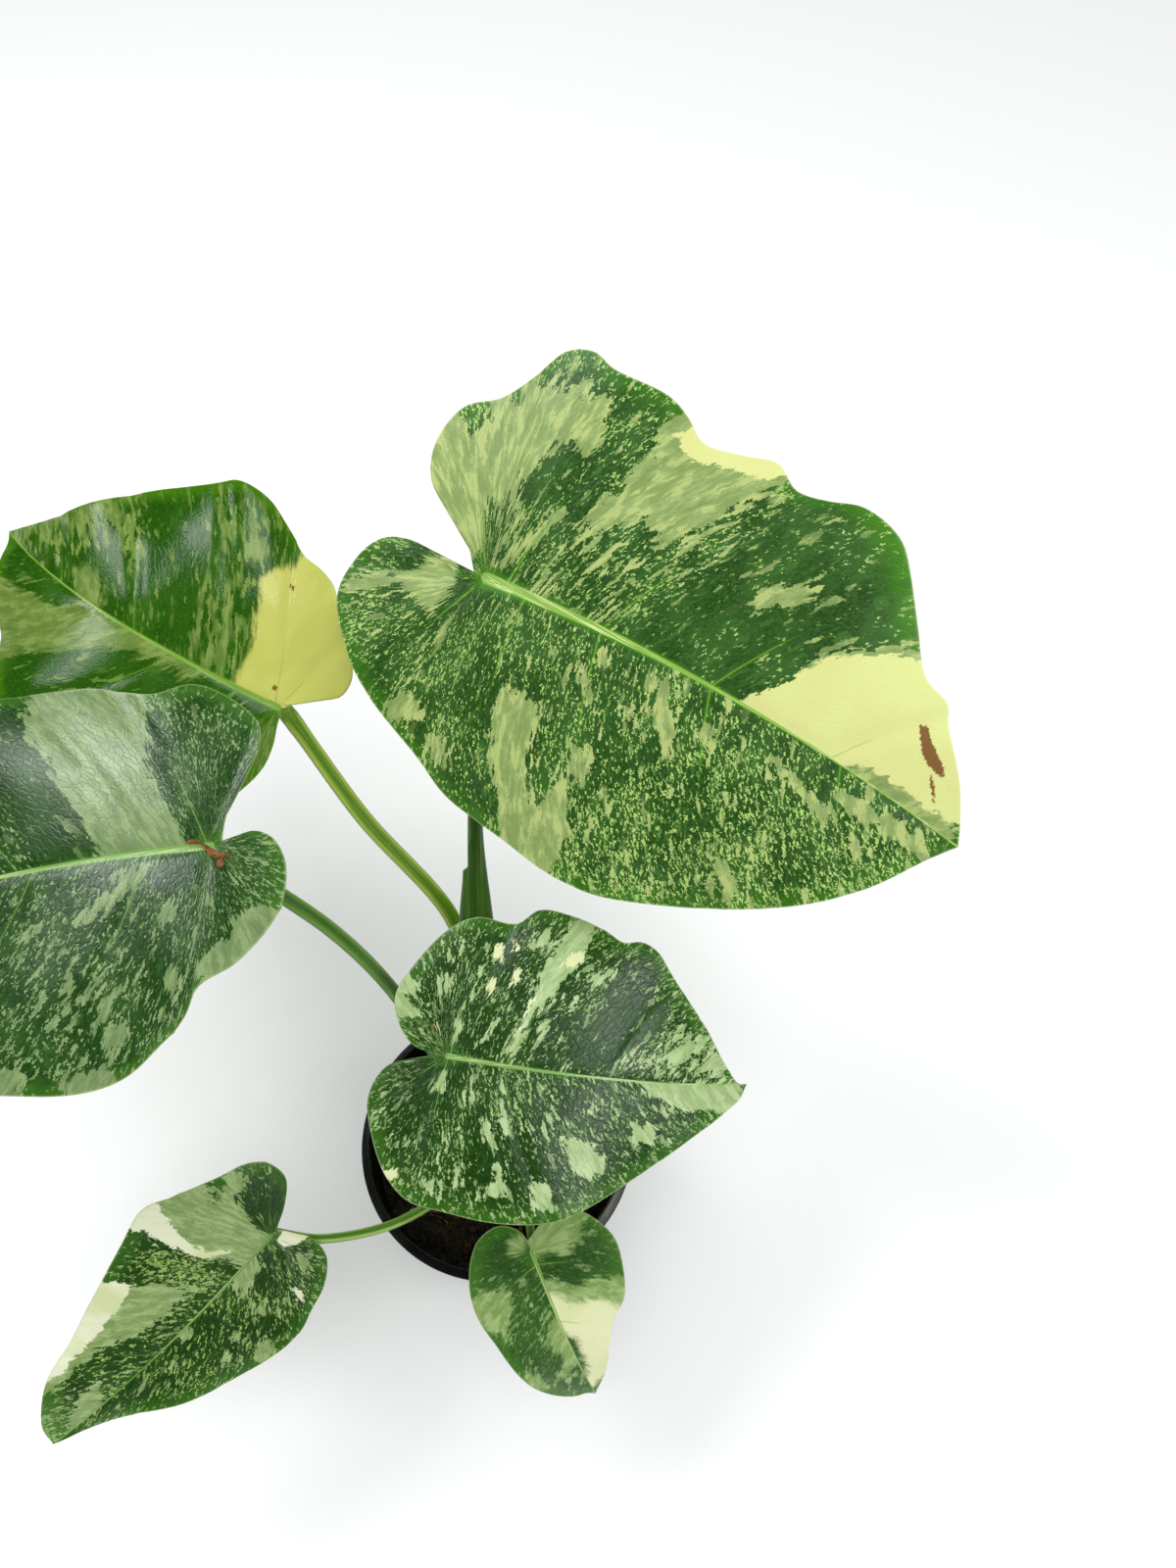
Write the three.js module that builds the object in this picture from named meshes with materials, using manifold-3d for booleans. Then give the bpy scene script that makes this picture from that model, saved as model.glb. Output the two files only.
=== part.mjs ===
import * as THREE from "three";
import { mergeVertices } from "three/addons/utils/BufferGeometryUtils.js";
import Module from "manifold-3d";

// A young marbled monstera in a round nursery pot. All lengths are in millimetres.
// The pot stands on z = 0 and its axis is the z axis.

// Pot and soil
const POT_HEIGHT = 110;
const RIM_RADIUS = 60;
const COLLAR_HEIGHT = 12;
const COLLAR_RADIUS = 58.6;
const SHOULDER_RADIUS = 57.2;
const BASE_RADIUS = 43;
const WALL = 1.6;
const FLOOR = 2;
const LIP_RADIUS = 55.8;
const LIP_FALL = 1.7;
const LIP_ROUND = 0.8;
const DRAIN_RADIUS = 4;
const DRAIN_RING = 29;
const DRAIN_COUNT = 6;
const SOIL_EDGE_Z = 90;
const SOIL_CENTRE_Z = 98;
const CLEAR = 0.3;
const ROOT_CLEAR = 0.9;
const ROUND_SEGMENTS = 36;

// Stem
const STEM_RADIUS = 6;
const STEM_TOP_Z = 113;
const ROOTED_Z = 84;

// Blades
const BLADE = 0.8;
const MIDRIB_SOFTNESS = 6;
const FAN_SHARE = 0.33;
const START_POWER = 1.6;
const VEIN_BEND = 0.09;
const STEPS_ALONG = 20;
const STEPS_ACROSS = 3;

// Petioles
const PETIOLE_SIDES = 7;
const STEPS_A_BEND = 2;
const KNEE = 7;

// Each leaf is laid out flat in its own frame: x runs from the petiole joint to the tip, y to the left
// and z out of the upper face. at is the joint, heading and fall turn the x axis, roll turns the blade
// about it. arch lifts the middle, fold lifts the sides, curl lowers the margins and bow bends the
// midrib sideways. waves and ripple are the number and height of the margin's waves. left and right
// are the margin from the notch to the tip, and path is the petiole from the soil up.
const LEAVES = {
  a: {
    at: [3, 145, 310], heading: -26, fall: 15, roll: 40, length: 196,
    arch: 10, fold: 0.1, curl: 0.35, bow: 7, waves: 3.5, ripple: 3, phase: [0, 0.3],
    notch: [-4, -2],
    left: [[-13, 8], [-23, 13], [-36, 21], [-41, 33], [-38, 49], [-27, 58], [-20, 69], [-13, 83],
      [-4, 87], [5, 85], [27, 86], [36, 83], [45, 78], [60, 81], [71, 84], [81, 79], [92, 81],
      [104, 85], [120, 82], [130, 73], [141, 60], [153, 46], [164, 42], [168, 36], [183, 20],
      [192, 7]],
    right: [[-8, -5], [-15, -3], [-31, -2], [-43, -7], [-49, -18], [-49, -34], [-36, -49], [-20, -60],
      [8, -72], [24, -79], [52, -81], [72, -83], [90, -82], [112, -74], [134, -62], [154, -48],
      [170, -34], [178, -25], [189, -9]],
    radius: 3,
    path: [[7, 11], [3, 24, 125], [-4, 44, 160], [-6, 66, 194], [-3, 104, 252]],
  },
  b: {
    at: [-84, 131, 250], heading: 141, fall: 8, roll: -25, length: 195,
    arch: 14, fold: 0.1, curl: 0.35, bow: 6, waves: 3.5, ripple: 3, phase: [0, 0.5],
    notch: [-2, 0],
    left: [[-4, 6], [-8, 14], [-10, 23], [-7, 34], [2, 46], [14, 56], [34, 69], [58, 77], [84, 77],
      [108, 68], [130, 57], [152, 39], [170, 26], [181, 13], [186, 5]],
    right: [[-5, -6], [-10, -11], [-18, -16], [-19, -25], [-13, -35], [-3, -45], [6, -53], [15, -56],
      [28, -58], [42, -65], [56, -71], [72, -71], [84, -64], [109, -53], [131, -36], [150, -23],
      [174, -11]],
    radius: 3.5,
    path: [[-5, 15], [-4, 28, 116], [-9, 52, 146], [-19, 76, 173], [-53, 102, 213]],
  },
  c: {
    at: [-91, 54, 275], heading: -172, fall: 14, roll: -12, length: 182,
    arch: 14, fold: 0.12, curl: 0.35, bow: -3, waves: 3.5, ripple: 3, phase: [0.2, 0.1],
    notch: [-4, -1],
    left: [[-9, -2], [-15, -3], [-20, 0], [-23, 8], [-22, 19], [-17, 30], [-5, 43], [6, 49], [11, 58],
      [21, 66], [34, 73], [50, 75], [74, 71], [95, 66], [115, 59], [136, 44], [156, 29], [171, 12]],
    right: [[-5, -5], [-8, -13], [-13, -21], [-19, -36], [-18, -46], [-8, -58], [2, -63], [14, -60],
      [25, -63], [38, -68], [60, -72], [80, -72], [102, -66], [124, -54], [144, -40], [162, -22],
      [174, -9]],
    radius: 3,
    path: [[-13, 2], [-13, 8, 115], [-27, 27, 148], [-40, 40, 178], [-58, 46, 225]],
  },
  d: {
    at: [-14, 7, 194], heading: 3, fall: 24, roll: 20, length: 133,
    arch: 12, fold: 0.12, curl: 0.35, bow: -3, waves: 3, ripple: 2.5, phase: [0.2, 0.6],
    notch: [-4, 0],
    left: [[-13, 3], [-19, 11], [-21, 21], [-15, 34], [-4, 49], [5, 54], [20, 53], [30, 60], [46, 59],
      [58, 55], [65, 51], [73, 52], [80, 49], [87, 41], [108, 21], [119, 7], [127, 0]],
    right: [[-12, -2], [-21, -6], [-26, -17], [-24, -30], [-17, -45], [-7, -54], [7, -57], [20, -59],
      [33, -59], [46, -57], [65, -48], [86, -35], [104, -22], [120, -12], [129, -6]],
    radius: 2.7,
    path: [[12, -2], [12, -1, 118], [4, 3, 152], [-7, 6, 174]],
  },
  e: {
    at: [-86, -48, 140], heading: -138, fall: 13, roll: -40, length: 109,
    arch: 8, fold: 0.1, curl: 0.35, bow: 0, waves: 3, ripple: 2, phase: [0.2, 0.6],
    notch: [-3, 0],
    left: [[-6, 6], [-9, 14], [-7, 25], [1, 32], [10, 34], [17, 36], [26, 36], [38, 34], [50, 29],
      [61, 23], [73, 16], [87, 8], [98, 3], [105, 1]],
    right: [[-11, -4], [-18, -11], [-18, -21], [-13, -28], [-2, -33], [14, -40], [24, -45], [36, -42],
      [58, -34], [75, -27], [89, -23], [100, -15], [107, -7]],
    radius: 2,
    path: [[-10, -10], [-13, -16, 107], [-27, -30, 113], [-45, -40, 117], [-70, -46, 124]],
  },
  f: {
    at: [17, -52, 128], heading: -61, fall: 42, roll: 12, length: 72,
    arch: 9, fold: 0.1, curl: 0.35, bow: 0, waves: 2.5, ripple: 1.5, phase: [0.2, 0.6],
    notch: [-4, 0],
    left: [[-8, 8], [-9, 14], [-6, 23], [0, 29], [8, 33], [18, 32], [32, 27], [38, 20], [48, 14],
      [62, 7]],
    right: [[-8, -2], [-12, -9], [-11, -18], [-6, -24], [5, -29], [17, -30], [29, -27], [42, -24],
      [55, -20], [64, -14], [68, -8], [69, -3]],
    radius: 1.8,
    path: [[4, -12], [8, -19, 106], [13, -30, 114], [16, -42, 121]],
  },
};

// Materials
const leafGreen = new THREE.MeshStandardMaterial({ color: "#5f7a4c", roughness: 0.4, metalness: 0 });
const petioleGreen = new THREE.MeshStandardMaterial({ color: "#7d8a4a", roughness: 0.5, metalness: 0 });
const stemGreen = new THREE.MeshStandardMaterial({ color: "#6b7048", roughness: 0.6, metalness: 0 });
const potBlack = new THREE.MeshStandardMaterial({ color: "#16181c", roughness: 0.4, metalness: 0 });
const soilBrown = new THREE.MeshStandardMaterial({ color: "#2b211c", roughness: 0.95, metalness: 0 });

// Solids that are cut
const wasm = await Module();
wasm.setup();

function toSolid(geometry) {
  const bare = geometry.clone();
  bare.deleteAttribute("normal");
  bare.deleteAttribute("uv");
  const merged = mergeVertices(bare, 1e-4);
  return new wasm.Manifold(
    new wasm.Mesh({
      numProp: 3,
      vertProperties: merged.attributes.position.array,
      triVerts: new Uint32Array(merged.index.array),
    }),
  );
}

function toGeometry(solid) {
  const mesh = solid.getMesh();
  const geometry = new THREE.BufferGeometry();
  geometry.setAttribute("position", new THREE.BufferAttribute(new Float32Array(mesh.vertProperties), 3));
  geometry.setIndex(new THREE.BufferAttribute(new Uint32Array(mesh.triVerts), 1));
  geometry.computeVertexNormals();
  return geometry;
}

function lathe(profile) {
  const points = profile.map(([radius, z]) => new THREE.Vector2(radius, z));
  return new THREE.LatheGeometry(points, ROUND_SEGMENTS).rotateX(Math.PI / 2);
}

function postHole([x, y], radius, bottom, top, sides) {
  return new THREE.CylinderGeometry(radius, radius, top - bottom, sides)
    .rotateX(Math.PI / 2)
    .translate(x, y, (top + bottom) / 2);
}

function cut(geometry, holes) {
  return toGeometry(holes.reduce((solid, hole) => solid.subtract(toSolid(hole)), toSolid(geometry)));
}

// Pot: one moulded shell with a stepped collar, a lip that slopes outwards, and a ring of drain holes.
function potGeometry() {
  const collarZ = POT_HEIGHT - COLLAR_HEIGHT;
  const shell = lathe([
    [0, 0],
    [BASE_RADIUS, 0],
    [SHOULDER_RADIUS, collarZ],
    [COLLAR_RADIUS, collarZ],
    [RIM_RADIUS, POT_HEIGHT - LIP_FALL - LIP_ROUND],
    [RIM_RADIUS - LIP_ROUND / 2, POT_HEIGHT - LIP_FALL],
    [LIP_RADIUS + LIP_ROUND, POT_HEIGHT],
    [LIP_RADIUS + LIP_ROUND / 2, POT_HEIGHT],
    [LIP_RADIUS, POT_HEIGHT - LIP_ROUND],
    [SHOULDER_RADIUS - WALL, collarZ - 2],
    [BASE_RADIUS - WALL, FLOOR],
    [0, FLOOR],
  ]);
  const drains = [];
  for (let i = 0; i < DRAIN_COUNT; i++) {
    const angle = (2 * Math.PI * i) / DRAIN_COUNT;
    const centre = [DRAIN_RING * Math.cos(angle), DRAIN_RING * Math.sin(angle)];
    drains.push(postHole(centre, DRAIN_RADIUS, -1, FLOOR + 1, 10));
  }
  return cut(shell, drains);
}

// The pot's inside radius at a height below the collar
function insideRadius(z) {
  const share = (z - FLOOR) / (POT_HEIGHT - COLLAR_HEIGHT - 2 - FLOOR);
  return BASE_RADIUS - WALL + share * (SHOULDER_RADIUS - BASE_RADIUS);
}

// Soil: fills the pot to below the collar, higher in the middle, with a plain hole for each stem.
function soilGeometry() {
  const bottom = FLOOR + CLEAR;
  const fill = lathe([
    [0, bottom],
    [insideRadius(bottom) - CLEAR, bottom],
    [insideRadius(SOIL_EDGE_Z) - CLEAR, SOIL_EDGE_Z],
    [40, SOIL_EDGE_Z + 2],
    [20, SOIL_CENTRE_Z - 1.5],
    [0, SOIL_CENTRE_Z],
  ]);
  const holes = Object.values(LEAVES).map((leaf) =>
    postHole(leaf.path[0], leaf.radius + ROOT_CLEAR, ROOTED_Z - CLEAR, POT_HEIGHT, 12),
  );
  holes.push(postHole([0, 0], STEM_RADIUS + CLEAR, ROOTED_Z - CLEAR, POT_HEIGHT, 16));
  return cut(fill, holes);
}

// Stem: the short rootstock that the petioles stand round
function stemGeometry() {
  return lathe([
    [0, ROOTED_Z],
    [STEM_RADIUS - 0.4, ROOTED_Z],
    [STEM_RADIUS - 0.4, SOIL_CENTRE_Z + 4],
    [STEM_RADIUS, SOIL_CENTRE_Z + 5],
    [STEM_RADIUS - 0.8, SOIL_CENTRE_Z + 7],
    [STEM_RADIUS - 2.2, STEM_TOP_Z - 2],
    [0, STEM_TOP_Z],
  ]);
}

// The leaf's frame as a rotation
function leafRotation(leaf) {
  const heading = THREE.MathUtils.degToRad(leaf.heading);
  const fall = THREE.MathUtils.degToRad(leaf.fall);
  const roll = THREE.MathUtils.degToRad(leaf.roll);
  const x = new THREE.Vector3(
    Math.cos(fall) * Math.cos(heading),
    Math.cos(fall) * Math.sin(heading),
    -Math.sin(fall),
  );
  const y = new THREE.Vector3(-Math.sin(heading), Math.cos(heading), 0);
  const z = new THREE.Vector3().crossVectors(x, y);
  y.applyAxisAngle(x, roll);
  z.applyAxisAngle(x, roll);
  return new THREE.Quaternion().setFromRotationMatrix(new THREE.Matrix4().makeBasis(x, y, z));
}

// Height of the blade's upper face above the leaf's own flat plane
function rise(leaf, x, y, along, across, phase) {
  const share = x / leaf.length;
  const hump = 4 * share * (1 - share);
  const side = Math.abs(y - leaf.bow * Math.max(hump, 0));
  const soft = Math.hypot(side, MIDRIB_SOFTNESS) - MIDRIB_SOFTNESS;
  const fade = across * across * Math.sqrt(Math.sin(Math.PI * Math.min(along, 1)));
  const wave = Math.sin(2 * Math.PI * (leaf.waves * along + phase));
  return leaf.arch * hump + leaf.fold * soft - (leaf.curl * side * side) / leaf.length + leaf.ripple * fade * wave;
}

// A point of one half of the blade: along runs from 0 at the notch to 1 at the tip, and across from 0 at
// the midrib to 1 at the margin, on a vein that leaves the midrib and bends towards the tip.
function bladePoint(leaf, margin, sign, phase, along, across) {
  const end = margin.getPoint(along);
  const slide = Math.max(0, (along - FAN_SHARE) / (1 - FAN_SHARE)) ** START_POWER;
  const startX = leaf.length * slide;
  const start = new THREE.Vector2(startX, leaf.bow * 4 * slide * (1 - slide));
  const bend = VEIN_BEND * THREE.MathUtils.smoothstep(along, FAN_SHARE / 2, 1.3 * FAN_SHARE);
  const middle = new THREE.Vector2(
    (start.x + end.x) / 2 - bend * sign * (end.y - start.y),
    (start.y + end.y) / 2 + bend * sign * (end.x - start.x),
  );
  const point = new THREE.QuadraticBezierCurve(start, middle, new THREE.Vector2(end.x, end.y)).getPoint(across);
  return new THREE.Vector3(point.x, point.y, rise(leaf, point.x, point.y, along, across, phase));
}

// Blade: the upper face's net of triangles, the same net lowered by the blade's thickness, and the edge
function bladeGeometry(leaf) {
  const corners = [];
  const lower = new THREE.Vector3(0, 0, -BLADE);
  const triangle = (p, q, r) => {
    const distinct = p.distanceTo(q) > 1e-3 && q.distanceTo(r) > 1e-3 && r.distanceTo(p) > 1e-3;
    if (distinct) corners.push(p, q, r);
  };
  [leaf.left, leaf.right].forEach((side, index) => {
    const sign = index === 0 ? 1 : -1;
    const outline = [leaf.notch, ...side, [leaf.length, 0]].map(([x, y]) => new THREE.Vector3(x, y, 0));
    const margin = new THREE.CatmullRomCurve3(outline, false, "centripetal");
    const curve = { getPoint: (along) => margin.getPointAt(along) };
    const net = [];
    for (let i = 0; i <= STEPS_ALONG; i++) {
      const row = [];
      for (let j = 0; j <= STEPS_ACROSS; j++)
        row.push(bladePoint(leaf, curve, sign, leaf.phase[index], i / STEPS_ALONG, j / STEPS_ACROSS));
      net.push(row);
    }
    const face = (p, q, r, s) => {
      const order = sign > 0 ? [p, s, r, q] : [p, q, r, s];
      triangle(order[0], order[1], order[2]);
      triangle(order[0], order[2], order[3]);
    };
    const sunk = net.map((row) => row.map((point) => point.clone().add(lower)));
    for (let i = 0; i < STEPS_ALONG; i++) {
      for (let j = 0; j < STEPS_ACROSS; j++) {
        face(net[i][j], net[i][j + 1], net[i + 1][j + 1], net[i + 1][j]);
        face(sunk[i][j], sunk[i + 1][j], sunk[i + 1][j + 1], sunk[i][j + 1]);
      }
      const last = STEPS_ACROSS;
      face(net[i][last], sunk[i][last], sunk[i + 1][last], net[i + 1][last]);
    }
  });
  const geometry = new THREE.BufferGeometry().setFromPoints(corners);
  const merged = mergeVertices(geometry, 1e-3);
  merged.computeVertexNormals();
  return merged;
}

// Petiole: a round stalk from its hole in the soil to the knee under the blade's joint. Its sections lie
// at the path's own points and halfway between them, so that its foot stands upright.
function petioleGeometry(leaf) {
  const turn = leafRotation(leaf);
  const joint = new THREE.Vector3(...leaf.at);
  const outward = new THREE.Vector3((4 * leaf.arch) / leaf.length, 0, -1).normalize().applyQuaternion(turn);
  const under = (depth) => outward.clone().multiplyScalar(depth).add(joint);
  const [[rootX, rootY], ...bends] = leaf.path;
  const points = [
    new THREE.Vector3(rootX, rootY, ROOTED_Z),
    new THREE.Vector3(rootX, rootY, SOIL_CENTRE_Z + 1),
    ...bends.map((bend) => new THREE.Vector3(...bend)),
    under(KNEE),
    under(BLADE + 1.5 * CLEAR),
  ];
  const path = new THREE.CatmullRomCurve3(points, false, "centripetal");
  path.getPointAt = path.getPoint;
  path.getTangentAt = path.getTangent;
  const section = new THREE.Shape();
  section.absarc(0, 0, leaf.radius, 0, 2 * Math.PI);
  const outline = new THREE.Shape(section.getSpacedPoints(PETIOLE_SIDES).slice(0, PETIOLE_SIDES));
  return new THREE.ExtrudeGeometry(outline, { steps: STEPS_A_BEND * (points.length - 1), extrudePath: path });
}

function named(name, geometry, material) {
  const mesh = new THREE.Mesh(geometry, material.clone());
  mesh.name = name;
  return mesh;
}

const plant = new THREE.Group();
plant.add(named("pot", potGeometry(), potBlack));
plant.add(named("soil", soilGeometry(), soilBrown));
plant.add(named("stem", stemGeometry(), stemGreen));
for (const [letter, leaf] of Object.entries(LEAVES)) {
  plant.add(named("petiole_" + letter, petioleGeometry(leaf), petioleGreen));
  const blade = named("blade_" + letter, bladeGeometry(leaf), leafGreen);
  blade.position.set(...leaf.at);
  blade.quaternion.copy(leafRotation(leaf));
  plant.add(blade);
}

export default plant;
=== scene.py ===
"""A young marbled monstera in a black nursery pot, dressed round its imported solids.

All sizes are in millimetres unless a name says otherwise. Blender works in metres, so every mesh is
scaled by MM as it is made. A blade is a net of two parameters: along runs round the margin from the
notch to the tip, and across runs from the midrib to the margin.
"""

import logging
from dataclasses import dataclass, field
from enum import Enum

import bpy
import numpy as np
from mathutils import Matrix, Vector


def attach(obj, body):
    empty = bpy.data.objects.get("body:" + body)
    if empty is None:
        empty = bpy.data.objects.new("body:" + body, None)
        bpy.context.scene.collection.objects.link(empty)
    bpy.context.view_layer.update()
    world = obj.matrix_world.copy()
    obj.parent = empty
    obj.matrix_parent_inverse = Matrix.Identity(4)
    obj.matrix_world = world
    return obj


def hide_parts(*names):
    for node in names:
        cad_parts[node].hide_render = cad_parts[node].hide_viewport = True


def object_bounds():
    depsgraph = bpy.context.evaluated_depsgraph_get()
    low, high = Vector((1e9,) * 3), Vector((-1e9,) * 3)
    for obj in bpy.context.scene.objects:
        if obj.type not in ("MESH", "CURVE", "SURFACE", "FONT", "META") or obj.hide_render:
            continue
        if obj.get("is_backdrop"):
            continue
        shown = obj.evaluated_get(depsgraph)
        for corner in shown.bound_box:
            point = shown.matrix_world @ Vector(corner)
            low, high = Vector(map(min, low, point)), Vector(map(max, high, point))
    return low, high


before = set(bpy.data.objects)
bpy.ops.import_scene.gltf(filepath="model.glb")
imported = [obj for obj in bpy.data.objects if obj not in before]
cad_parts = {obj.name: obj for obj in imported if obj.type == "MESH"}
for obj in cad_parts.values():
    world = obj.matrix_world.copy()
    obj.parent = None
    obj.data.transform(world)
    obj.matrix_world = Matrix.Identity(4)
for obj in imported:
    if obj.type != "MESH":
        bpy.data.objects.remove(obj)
CAD_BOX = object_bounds()

MM = 0.001
LOG = logging.getLogger("potted_monstera")

# Blades
BLADE_THICKNESS = 0.8
LARGEST_BLADE = 196
MIDRIB_SOFTNESS = 6
FAN_SHARE = 0.33
START_POWER = 1.6
VEIN_BEND = 0.09
KNEE_LENGTH = 7
RIGHT_HALF_OFFSET = 700
FIELD_REACH = 14
CLING = 3
OVERLAP = 9

# Pot and soil
POT_HEIGHT = 110
RIM_RADIUS = 60
SOIL_EDGE_Z = 90
SOIL_CENTRE_Z = 98
ROOTED_Z = 84

Point2 = tuple[float, float]
Point3 = tuple[float, float, float]
Outline = tuple[Point2, ...]
Array = np.ndarray
Net = tuple[Array, Array]
Tree = bpy.types.NodeTree
Socket = bpy.types.NodeSocket
Material = bpy.types.Material


class Side(Enum):
    """The two halves of a blade, by the sign of the leaf's own y."""

    LEFT = 1
    RIGHT = -1

    @property
    def index(self) -> int:
        """0 for the left half and 1 for the right one."""
        return 0 if self is Side.LEFT else 1


class Tone(Enum):
    """What a marked patch of a blade is like. The value names the attribute that holds it."""

    MINT = "mint"
    CREAM = "cream"
    PLAIN = "plain"
    BUSY = "busy"
    FLECKED = "flecked"
    BRIGHT = "bright"
    SCAR = "scar"


Sockets = dict[Tone | str, Socket]


# Colour, nodes and meshes


def linear(code: str) -> tuple[float, float, float, float]:
    """Turns an sRGB hex colour into linear light.

    Args:
        code: the colour as "#rrggbb".

    Returns:
        Linear red, green, blue and an alpha of 1.
    """
    shares = [int(code[i : i + 2], 16) / 255 for i in (1, 3, 5)]
    light = [s / 12.92 if s <= 0.04045 else ((s + 0.055) / 1.055) ** 2.4 for s in shares]
    return (*light, 1.0)


def add_node(
    tree: Tree, kind: str, inputs: dict | None = None, output: int | str = 0, **settings
) -> Socket:
    """Adds a shader node, with its settings and its inputs.

    Args:
        tree: the tree that gets the node.
        kind: the node's type name, without "ShaderNode".
        inputs: input name or number, to a plain value or to another node's output socket.
        output: the number or name of the output that is wanted.
        settings: the node's own properties.

    Returns:
        That output's socket.
    """
    node = tree.nodes.new(f"ShaderNode{kind}")
    for name, value in settings.items():
        setattr(node, name, value)
    for key, value in (inputs or {}).items():
        if isinstance(value, bpy.types.NodeSocket):
            tree.links.new(value, node.inputs[key])
        else:
            node.inputs[key].default_value = value
    return node.outputs[output]


@dataclass(frozen=True)
class Grain:
    """A pattern by its real size: width and length of a mark in millimetres, and how far it is turned.

    The pattern is smooth noise, or, with cells, a mosaic in which each cell has one random value, and
    blur runs its cells into each other.
    """

    width: float
    length: float
    detail: float = 2.0
    roughness: float = 0.5
    turn: float = 0.0
    cells: bool = False
    blur: float = 0.0

    def of(self, tree: Tree, place: Socket, unit: float = 1.0) -> Socket:
        """Draws the pattern.

        Args:
            tree: the material's tree.
            place: the coordinates that it is drawn on.
            unit: how many millimetres one unit of the coordinates is.

        Returns:
            The values, 0.5 in the middle.
        """
        sizes = (self.width / unit, self.length / unit, self.width / unit)
        lie = {"Vector": place, "Rotation": (0, 0, self.turn), "Scale": sizes}
        inputs = {"Vector": add_node(tree, "Mapping", lie, vector_type="TEXTURE"), "Scale": 1.0}
        if not self.cells:
            inputs |= {"Detail": self.detail, "Roughness": self.roughness}
            return add_node(tree, "TexNoise", inputs)
        if self.blur:
            inputs["Smoothness"] = self.blur
        feature = "SMOOTH_F1" if self.blur else "F1"
        mosaic = add_node(tree, "TexVoronoi", inputs, "Color", voronoi_dimensions="2D", feature=feature)
        return add_node(tree, "SeparateColor", {0: mosaic})


def new_material(name: str) -> tuple[Material, Tree, bpy.types.Node]:
    """Makes an empty material with its shader.

    Args:
        name: the material's name.

    Returns:
        The material, its node tree and its Principled BSDF node.
    """
    material = bpy.data.materials.new(name)
    material.use_nodes = True
    tree = material.node_tree
    return material, tree, tree.nodes["Principled BSDF"]


def add_object(name: str, data: bpy.types.ID) -> bpy.types.Object:
    """Puts a mesh, a lamp or a camera into the scene, at the origin."""
    thing = bpy.data.objects.new(name, data)
    bpy.context.scene.collection.objects.link(thing)
    return thing


def weld(points: Array, quads: Array) -> tuple[Array, Array, list[Array], Array]:
    """Joins points that lie within a thousandth of a millimetre, and drops what closes up.

    A quad with one shut side becomes a triangle, and one with more is dropped.

    Args:
        points: n by 3, in millimetres.
        quads: m by 4 numbers of points.

    Returns:
        For each point its joined number, the first point of each joined number, the faces with the old
        numbers (the quads and then the triangles), and for each face the row of quads that it came from.
    """
    cells = np.round(points * 1000).astype(np.int64)
    _, first, joined = np.unique(cells, axis=0, return_index=True, return_inverse=True)
    joined = joined.reshape(-1)
    ids = joined[quads]
    shut = ids == np.roll(ids, -1, axis=1)
    count = shut.sum(axis=1)
    whole = np.flatnonzero(count == 0)
    pinched = [np.flatnonzero((count == 1) & shut[:, k]) for k in range(4)]
    triangles = np.concatenate([np.delete(quads[rows], k, axis=1) for k, rows in enumerate(pinched)])
    return joined, first, [quads[whole], triangles], np.concatenate([whole, *pinched])


def make_piece(
    name: str,
    points: Array,
    quads: Array,
    skins: list[Material],
    slots: Array | None = None,
    fields: dict[str, Array] | None = None,
    maps: dict[str, Array] | None = None,
    crease: float = 0.9,
) -> bpy.types.Object:
    """Puts a net of points and quads into a closed, smooth mesh.

    Args:
        name: the piece's name.
        points: n by 3, in millimetres, in the model's frame.
        quads: m by 4 numbers of points, seen anticlockwise from outside.
        skins: the piece's materials.
        slots: for each quad the number of its material.
        fields: values at each point that a material reads, by attribute name.
        maps: pairs of coordinates at each point, by UV map name.
        crease: angle in radians past which an edge stays sharp.

    Returns:
        The new object, linked to the scene.
    """
    joined, first, faces, owner = weld(points, quads)
    mesh = bpy.data.meshes.new(name)
    numbered = [joined[group].tolist() for group in faces]
    mesh.from_pydata((points[first] * MM).tolist(), [], numbered[0] + numbered[1])
    corners = np.concatenate([group.reshape(-1) for group in faces])
    for label, values in (maps or {}).items():
        layer = mesh.uv_layers.new(name=label)
        layer.data.foreach_set("uv", values[corners].astype(np.float32).reshape(-1))
    for label, values in (fields or {}).items():
        attribute = mesh.attributes.new(label, "FLOAT", "POINT")
        attribute.data.foreach_set("value", values[first].astype(np.float32))
    for skin in skins:
        mesh.materials.append(skin)
    if slots is not None:
        mesh.polygons.foreach_set("material_index", slots[owner])
    mesh.polygons.foreach_set("use_smooth", [True] * len(mesh.polygons))
    mesh.set_sharp_from_angle(angle=crease)
    mesh.validate()
    mesh.update()
    return add_object(name, mesh)


def settle(piece: bpy.types.Object, slot: str, *nodes: str) -> None:
    """Says what a piece rides on and which solids it stands for.

    Args:
        piece: the finished piece.
        slot: not used.
        nodes: the solids that it replaces.
    """
    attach(piece, "root")
    if nodes:
        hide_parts(*nodes)
    LOG.info("%s: %d faces", piece.name, len(piece.data.polygons))


def grid_quads(rows: int, columns: int, start: int = 0, turned: bool = False) -> Array:
    """Numbers the quads of a net whose points are stored row by row.

    Args:
        rows: points down the net.
        columns: points across it.
        start: the number of its first point.
        turned: whether the faces look the other way.

    Returns:
        One row of four point numbers for each quad.
    """
    i, j = np.meshgrid(np.arange(rows - 1), np.arange(columns - 1), indexing="ij")
    corner = (start + i * columns + j).reshape(-1)
    quads = np.stack([corner, corner + columns, corner + columns + 1, corner + 1], axis=1)
    return quads[:, ::-1] if turned else quads


def gather(nets: list[Net]) -> Net:
    """Puts several nets of points and quads into one, and numbers each net's quads on from the last."""
    starts = np.cumsum([0] + [len(points) for points, _ in nets])
    quads = [quads + start for (_, quads), start in zip(nets, starts)]
    return np.concatenate([points for points, _ in nets]), np.concatenate(quads)


# Shapes


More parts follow.
